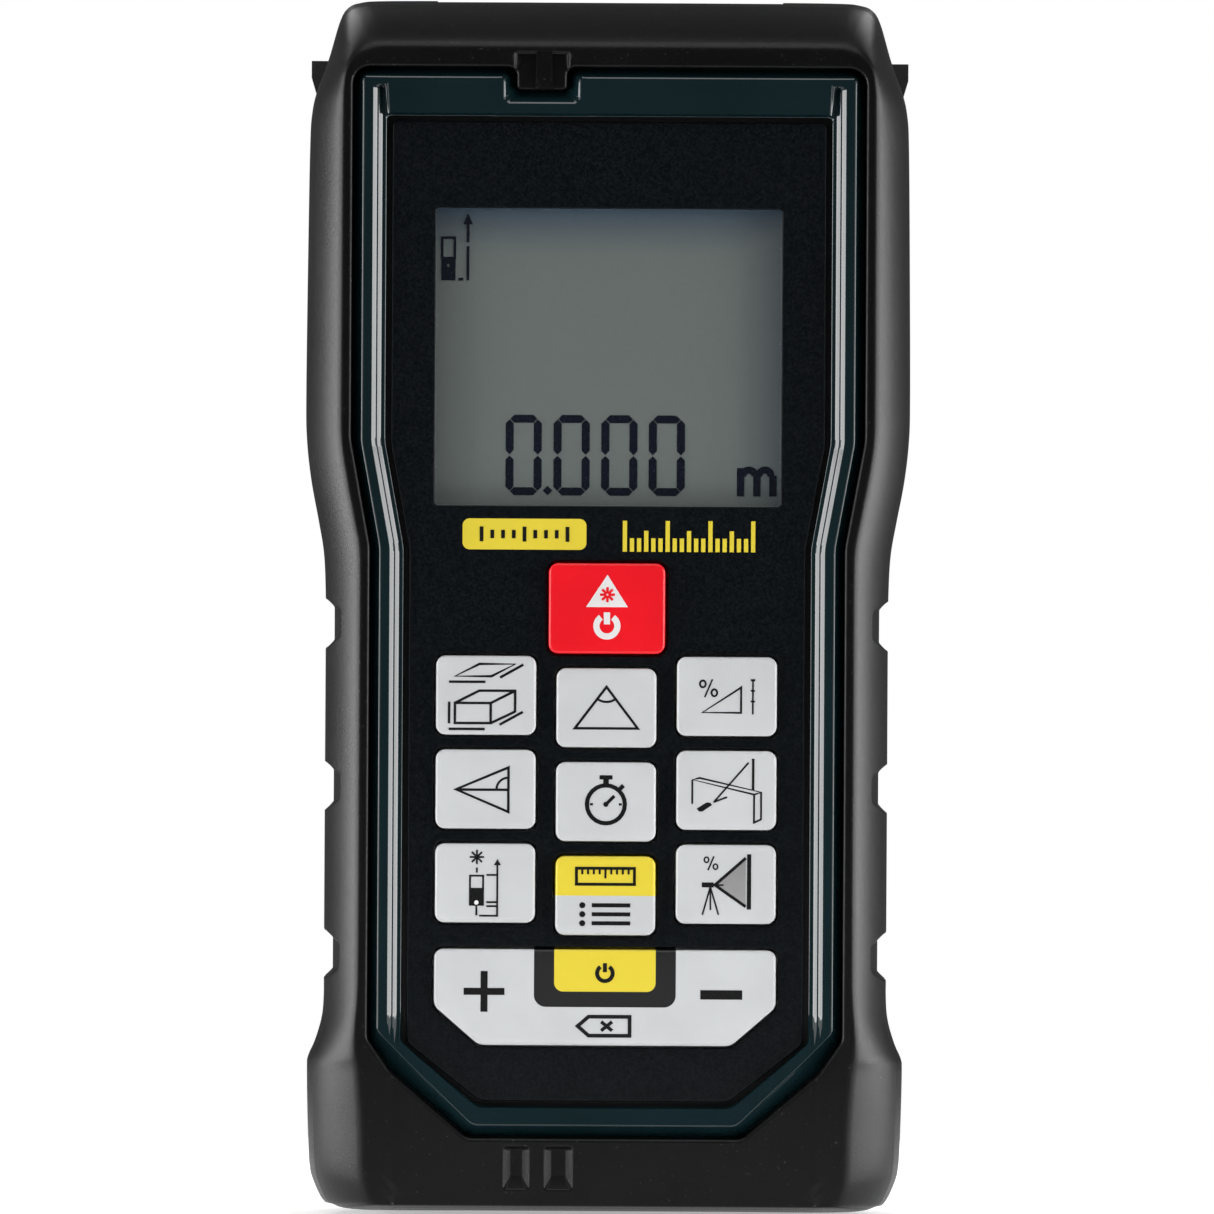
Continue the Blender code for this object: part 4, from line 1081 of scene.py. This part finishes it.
def paint_key_details():
    """The small marks of other colours: warning star, grey beam, and the meter's lens dot."""
    star = Print("measure_star", "measure_key", "red", "key_red", 0.0, 60.75, lift=0.035)
    star.star(0.04, 1.38, 0.1, 0.75, 0.2)
    star.done()
    beam = Print("profile_beam", "profile_key", "grey", "key_grey", COLUMN, 33.2, lift=0.012)
    beam.area([(1.99, 2.6), (1.99, -2.16), (-1.0, -0.06)])
    beam.done()
    dot = Print("reference_dot", "reference_key", "white", "key_grey", -COLUMN, 33.2, lift=0.035)
    dot.disc(-0.85, -1.94, 0.22)
    dot.done()


PAINT_BLACK = (0.008, 0.008, 0.009)
# Painted areas: x, z, width, height and corner radius in mm, and the colour
ROCKER_AREAS = (
    ((0.0, 30.85, 14.2, 20.0, 1.2), PAINT_BLACK),
    ((0.0, 32.4, 10.15, 20.0, 0.9), YELLOW),
)
UNITS_AREAS = (((0.0, 42.0, 40.0, 20.0, 0.02), YELLOW),)


def adjust_rocker():
    outline = rocker_outline()
    paint = paint_areas("painted rocker", ROCKER_AREAS)
    solid("adjust_rocker_cap", key_rings(outline), body="adjust_rocker", slot="key_grey",
          replaced=["adjust_rocker"], material=paint)
    legend = Print("rocker_legend", "adjust_rocker", "black", "key_grey")
    draw_rocker(legend)
    legend.done()


# -------- display

SEGMENT = 0.8
LCD_FACE, LCD_BACK = 12.75, 10.9
LCD_SIZE = (39.4, 34.4)
DIGIT_LEFTS = (-10.26, -5.45, -0.66, 4.1)
DIGIT_SIZE, BASE_LINE = (3.62, 8.07), 72.06


def segment_bar(ink, x0, z0, x1, z1):
    """One display segment with its ends cut at 45 degrees."""
    along = (Vector((x1, z1)) - Vector((x0, z0))).normalized()
    across = Vector((-along.y, along.x)) * 0.5 * SEGMENT
    start, end = Vector((x0, z0)) + along * 0.06, Vector((x1, z1)) - along * 0.06
    point = along * 0.5 * SEGMENT
    corners = (start, start + point + across, end - point + across, end, end - point - across,
               start + point - across)
    ink.area([tuple(corner) for corner in corners])


def zero(ink, x, z, width, height):
    """A zero from the six outer segments of a seven-segment digit, given its lower left corner."""
    s = 0.5 * SEGMENT
    left, right, low, high = x + s, x + width - s, z + s, z + height - s
    middle = 0.5 * (low + high)
    for level in (high, low):
        segment_bar(ink, left, level, right, level)
    for foot, head in ((middle, high), (low, middle)):
        for edge in (left, right):
            segment_bar(ink, edge, foot, edge, head)


def display():
    x, z, width, height = SCREEN
    outline = rectangle(x, z, *LCD_SIZE, 0.4)
    sheet = [ring(outline, -LCD_BACK)] + rounded_edge(outline, -LCD_FACE, 0.1, -1)
    solid("lcd_glass_sheet", sheet, slot="lcd_face", replaced=["lcd_glass"])
    ink = Print("lcd_segments", HOUSING, "segment", "lcd_face", face=LCD_FACE)
    for left in DIGIT_LEFTS:
        zero(ink, left, BASE_LINE, *DIGIT_SIZE)
    ink.area([(-6.5, 72.55), (-6.03, 73.02), (-5.56, 72.55), (-6.03, 72.08)])
    draw_metre(ink)
    draw_status(ink)
    ink.done()
    pane = rectangle(x, z, width - 0.24, height - 0.24, 0.3, 5)
    sheet = [ring(pane, -13.35)] + rounded_edge(pane, -PANEL_FACE + 0.08, 0.18, -1)
    solid("display_window_pane", sheet, slot="clear_window", replaced=["display_window"])


def draw_metre(ink):
    """The metre sign, three legs under two arches."""
    for x in (13.32, 14.95, 16.55):
        ink.line([(x, 72.08), (x, 74.15)], 0.58)
    ink.area([(12.95, 74.9), (13.69, 74.9), (13.69, 74.0), (12.95, 74.0)])
    for x in (14.14, 15.75):
        ink.arc(x, 74.1, 0.62, 0, 180, 0.56, 12)


def draw_status(ink):
    """Top left of the display: the meter, and an arrow that runs up from its end."""
    ink.line([(-16.72, 97.84), (-15.46, 97.84), (-15.46, 95.8), (-16.72, 95.8)], 0.2, True)
    ink.line([(-16.5, 95.5), (-15.68, 95.5), (-15.68, 94.6), (-16.5, 94.6)], 0.48, True)
    ink.area([(-16.8, 94.4), (-15.38, 94.4), (-15.38, 93.57), (-16.8, 93.57)])
    ink.line([(-14.14, 99.4), (-14.14, 97.4)], 0.22)
    ink.line([(-14.14, 97.0), (-14.14, 93.6)], 0.22)
    ink.area([(-14.6, 99.2), (-14.14, 100.25), (-13.68, 99.2)])
    ink.line([(-15.1, 93.68), (-14.6, 93.68)], 0.22)


MARKS_MIDDLE, SCALE_FOOT = 68.15, 66.45


def panel_marks():
    """A plain yellow bar and a graduated scale, printed under the display."""
    bar = Print("panel_bar", HOUSING, "yellow", "panel_film", face=PANEL_FACE)
    bar.area(rectangle(-8.3, MARKS_MIDDLE, 12.4, 3.1, 0.7))
    for step in range(19):
        x = mix(1.75, 14.6, step / 18)
        tall = 3.1 if step % 6 == 0 else (2.1 if step % 3 == 0 else 1.35)
        bar.line([(x, SCALE_FOOT), (x, SCALE_FOOT + tall)], 0.34)
    bar.done()
    ticks = Print("panel_bar_ticks", HOUSING, "black", "panel_film", face=PANEL_FACE, lift=0.04)
    for step in range(9):
        x = mix(-12.6, -4.0, step / 8)
        half = 0.75 if step % 4 == 0 else 0.42
        ticks.line([(x, MARKS_MIDDLE - half), (x, MARKS_MIDDLE + half)], 0.3)
    ticks.done()


# -------- back


DOOR_WIDTH, DOOR_LOW, DOOR_HIGH = 28.0, 34.4, 87.2
DOOR_INSIDE, DOOR_FACE = 13.6, 14.9
HINGE_Y, HINGE_Z, HINGE_RADIUS = 14.0, 33.2, 0.9
KNUCKLES = ((-10.0, -6.0), (6.0, 10.0))
BRACKET_WIDTH, BRACKET_LENGTH, BRACKET_MIDDLE = 15.0, 17.8, 13.1
BRACKET_INSIDE, BRACKET_FACE = 11.8, 14.4
PIN_Y, PIN_Z = 13.1, 4.2
# The bracket's barrel round its pin: x and radius
BARREL = ((-7.5, 0.92), (-7.5, 1.4), (-7.3, 1.6), (7.3, 1.6), (7.5, 1.4), (7.5, 0.92))


def add_raised(bm, outline, face, heights, chamfer):
    """A raised mark on a face of the back, with a chamfered top edge."""
    low, high = heights
    levels = [ring(outline, face - 0.1), ring(outline, face + low)]
    add_solid(bm, [*levels, ring(inset(outline, chamfer), face + high)])


def battery_door():
    """Door with a ribbed thumb pad and an arrow, on two hinge barrels."""
    middle, height = 0.5 * (DOOR_LOW + DOOR_HIGH), DOOR_HIGH - DOOR_LOW
    outline = rectangle(0, middle, DOOR_WIDTH, height, 1.0)
    bm = bmesh.new()
    rings = [ring(outline, DOOR_INSIDE)] + rounded_edge(outline, DOOR_FACE, 0.35, 1)
    rings.append(ring(inset(outline, 1.0), DOOR_FACE))
    add_solid(bm, rings)
    for step in range(6):
        rib = rectangle(0, 79.0 + 1.1 * step, 11.0 - 0.7 * step, 0.5, 0.24, 4)
        add_raised(bm, rib, DOOR_FACE, (0.25, 0.4), 0.16)
    arrow = [(0, 76.8), (1.6, 75.0), (0.5, 75.0), (0.5, 72.6), (-0.5, 72.6), (-0.5, 75.0), (-1.6, 75.0)]
    add_raised(bm, arrow, DOOR_FACE, (0.25, 0.4), 0.15)
    section = circle(0, 0, HINGE_RADIUS, 24)
    for x0, x1 in KNUCKLES:
        add_solid(bm, [[(x, HINGE_Y + y, HINGE_Z + z) for y, z in section] for x in (x0, x1)])
        web = [(x1 - 0.2, 14.4), (x1 - 0.2, 13.65), (x0 + 0.2, 13.65), (x0 + 0.2, 14.4)]
        add_solid(bm, [[(x, y, z) for x, y in web] for z in (HINGE_Z, DOOR_LOW + 0.5)])
    to_object("battery_door_cover", bm, body="battery_door", slot="black_shell", replaced=["battery_door"])


def end_bracket():
    """The fold-out end piece, with grip ribs near its free end."""
    outline = rectangle(0, BRACKET_MIDDLE, BRACKET_WIDTH, BRACKET_LENGTH, 1.3)
    bm = bmesh.new()
    rings = [ring(inset(outline, 0.3), BRACKET_INSIDE), ring(outline, BRACKET_INSIDE + 0.3)]
    rings += rounded_edge(outline, BRACKET_FACE, 0.4, 1)
    rings.append(ring(inset(outline, 1.0), BRACKET_FACE))
    add_solid(bm, rings)
    for step in range(4):
        rib = rectangle(0, 16.2 + 1.2 * step, 9.0, 0.5, 0.24, 4)
        add_raised(bm, rib, BRACKET_FACE, (0.15, 0.25), 0.12)
    barrel = [[(x, PIN_Y + y, PIN_Z + z) for y, z in circle(0, 0, radius, 36)] for x, radius in BARREL]
    add_solid(bm, barrel, around=True)
    to_object("end_bracket_piece", bm, body="end_bracket", slot="black_shell", replaced=["end_bracket"])


# Cell: radius and distance from the positive end, both in mm, at each turn of the outside
SLEEVE_PROFILE = ((4.2, 1.0), (4.9, 1.0), (5.15, 1.2), (5.2, 1.5), (5.2, 44.0), (5.15, 44.3), (4.9, 44.45),
                  (4.2, 44.45))
TERMINAL_PROFILE = ((1.7, 0.0), (1.9, 0.15), (1.9, 0.9), (2.2, 1.1), (4.25, 1.1), (4.25, 44.4), (2.8, 44.4),
                    (2.6, 44.5))


def turned(profile, x, y, z, up):
    """Rings about a line along Z, with the profile measured from the positive end."""
    rings = []
    for radius, along in profile:
        level = z - along if up else z + along
        rings.append([(x + px, y + py, level) for px, py in circle(0, 0, radius, 48)])
    return rings


def cells():
    """Two AAA cells: a printed sleeve with a pale grey end, and plated terminals."""
    for name, up in (("battery_1", True), ("battery_2", False)):
        low, high = (Vector(corner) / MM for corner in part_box(name))
        x, y = 0.5 * (low.x + high.x), 0.5 * (low.y + high.y)
        z = high.z if up else low.z
        solid(f"{name}_sleeve", turned(SLEEVE_PROFILE, x, y, z, up), slot="cell_jacket", replaced=[name],
              material=sleeve_material(name, z, up))
        solid(f"{name}_terminals", turned(TERMINAL_PROFILE, x, y, z, up), slot="spring_steel")


# -------- studio


def area_light(name, place, target, width, height, power):
    data = bpy.data.lights.new(name, "AREA")
    data.shape = "RECTANGLE"
    data.size, data.size_y = width, height
    data.energy = power
    light = bpy.data.objects.new(name, data)
    light.location = place
    direction = Vector(target) - Vector(place)
    light.rotation_euler = direction.to_track_quat("-Z", "Y").to_euler()
    bpy.context.scene.collection.objects.link(light)


SOFTBOXES = (
    # name, azimuth in degrees, distance, height, width, length, power in watts
    ("left side", -89, 0.55, 0.0, 0.52, 0.4, 6.3),
    ("right side", 89, 0.55, 0.0, 0.52, 0.4, 6.3),
    ("left front", -57, 0.75, 0.2, 0.36, 0.5, 1.1),
    ("right front", 57, 0.75, 0.2, 0.36, 0.5, 1.1),
    ("left back", -140, 0.53, 0.59, 0.35, 0.35, 1.7),
    ("right back", 140, 0.53, 0.59, 0.35, 0.35, 1.7),
    ("top", 0, 0.3, 0.7, 0.6, 0.35, 2.0),
)

MIDDLE_HEIGHT = 0.061
AMBIENT = 0.08  # strength of the white surroundings as a light; the camera sees them at full strength
FLOOR_RADIUS, FLOOR_PLACE = 130, (0, 0.03, -0.001)


def studio():
    for name, azimuth, distance, height, width, length, power in SOFTBOXES:
        angle = math.radians(azimuth)
        place = (distance * math.sin(angle), -distance * math.cos(angle), height)
        area_light(f"{name} softbox", place, (0, 0, MIDDLE_HEIGHT), width, length, power)
    world = bpy.data.worlds.new("studio")
    world.use_nodes = True
    tree = world.node_tree
    background = tree.nodes["Background"]
    background.inputs["Color"].default_value = (1.0, 1.0, 1.0, 1.0)
    path = tree.nodes.new("ShaderNodeLightPath")
    level = tree.nodes.new("ShaderNodeMapRange")
    level.inputs["To Min"].default_value = AMBIENT
    level.inputs["To Max"].default_value = 1.0
    tree.links.new(path.outputs["Is Camera Ray"], level.inputs["Value"])
    tree.links.new(level.outputs["Result"], background.inputs["Strength"])
    bpy.context.scene.world = world
    bpy.context.scene.view_settings.view_transform = "Standard"


def studio_floor():
    """A pale light table, a little brighter away from the meter."""
    nodes = Nodes("pale floor")
    patches = nodes.noise(60.0, 2.0)
    nodes.feed("Base Color", nodes.colours(patches, (0.3, (0.82, 0.82, 0.82)), (0.7, (0.86, 0.86, 0.86))))
    nodes.feed("Roughness", 0.85)
    nodes.feed("Emission Color", (1.0, 1.0, 1.0, 1.0))
    away = nodes.vector_maths("LENGTH", nodes.place)
    nodes.feed("Emission Strength", nodes.spread(away, 0.4, 0.7, 0.03, 0.12))
    disc = circle(0, 0, FLOOR_RADIUS, 96)
    floor = solid("floor", [ring(disc, 0), ring(disc, 1)], body=None, material=nodes.material)
    floor.rotation_euler = (math.radians(-90), 0, 0)
    floor.location = FLOOR_PLACE


CAMERA_DISTANCE, CAMERA_HEIGHT, CAMERA_ROLL = 1.06, 0.0609, -0.33
VIEW_WIDTH, VIEW_DEPTH = 0.12224, 0.0084  # width of the view, at this depth in front of the middle
SENSOR = 36.0


def camera():
    """Straight on to the keypad from about a metre, turned by the tilt of the meter in view."""
    data = bpy.data.cameras.new("camera")
    data.sensor_width = SENSOR
    data.lens = SENSOR * (CAMERA_DISTANCE - VIEW_DEPTH) / VIEW_WIDTH
    eye = bpy.data.objects.new("camera", data)
    eye.location = (0, -CAMERA_DISTANCE, CAMERA_HEIGHT)
    eye.rotation_euler = (math.radians(90), math.radians(CAMERA_ROLL), 0)
    bpy.context.scene.collection.objects.link(eye)
    bpy.context.scene.camera = eye


dress_cad_nodes()
front_grip()
rear_grip()
bezel_frame()
face_panel()
keys()
adjust_rocker()
display()
panel_marks()
battery_door()
end_bracket()
cells()
camera()
studio()
studio_floor()
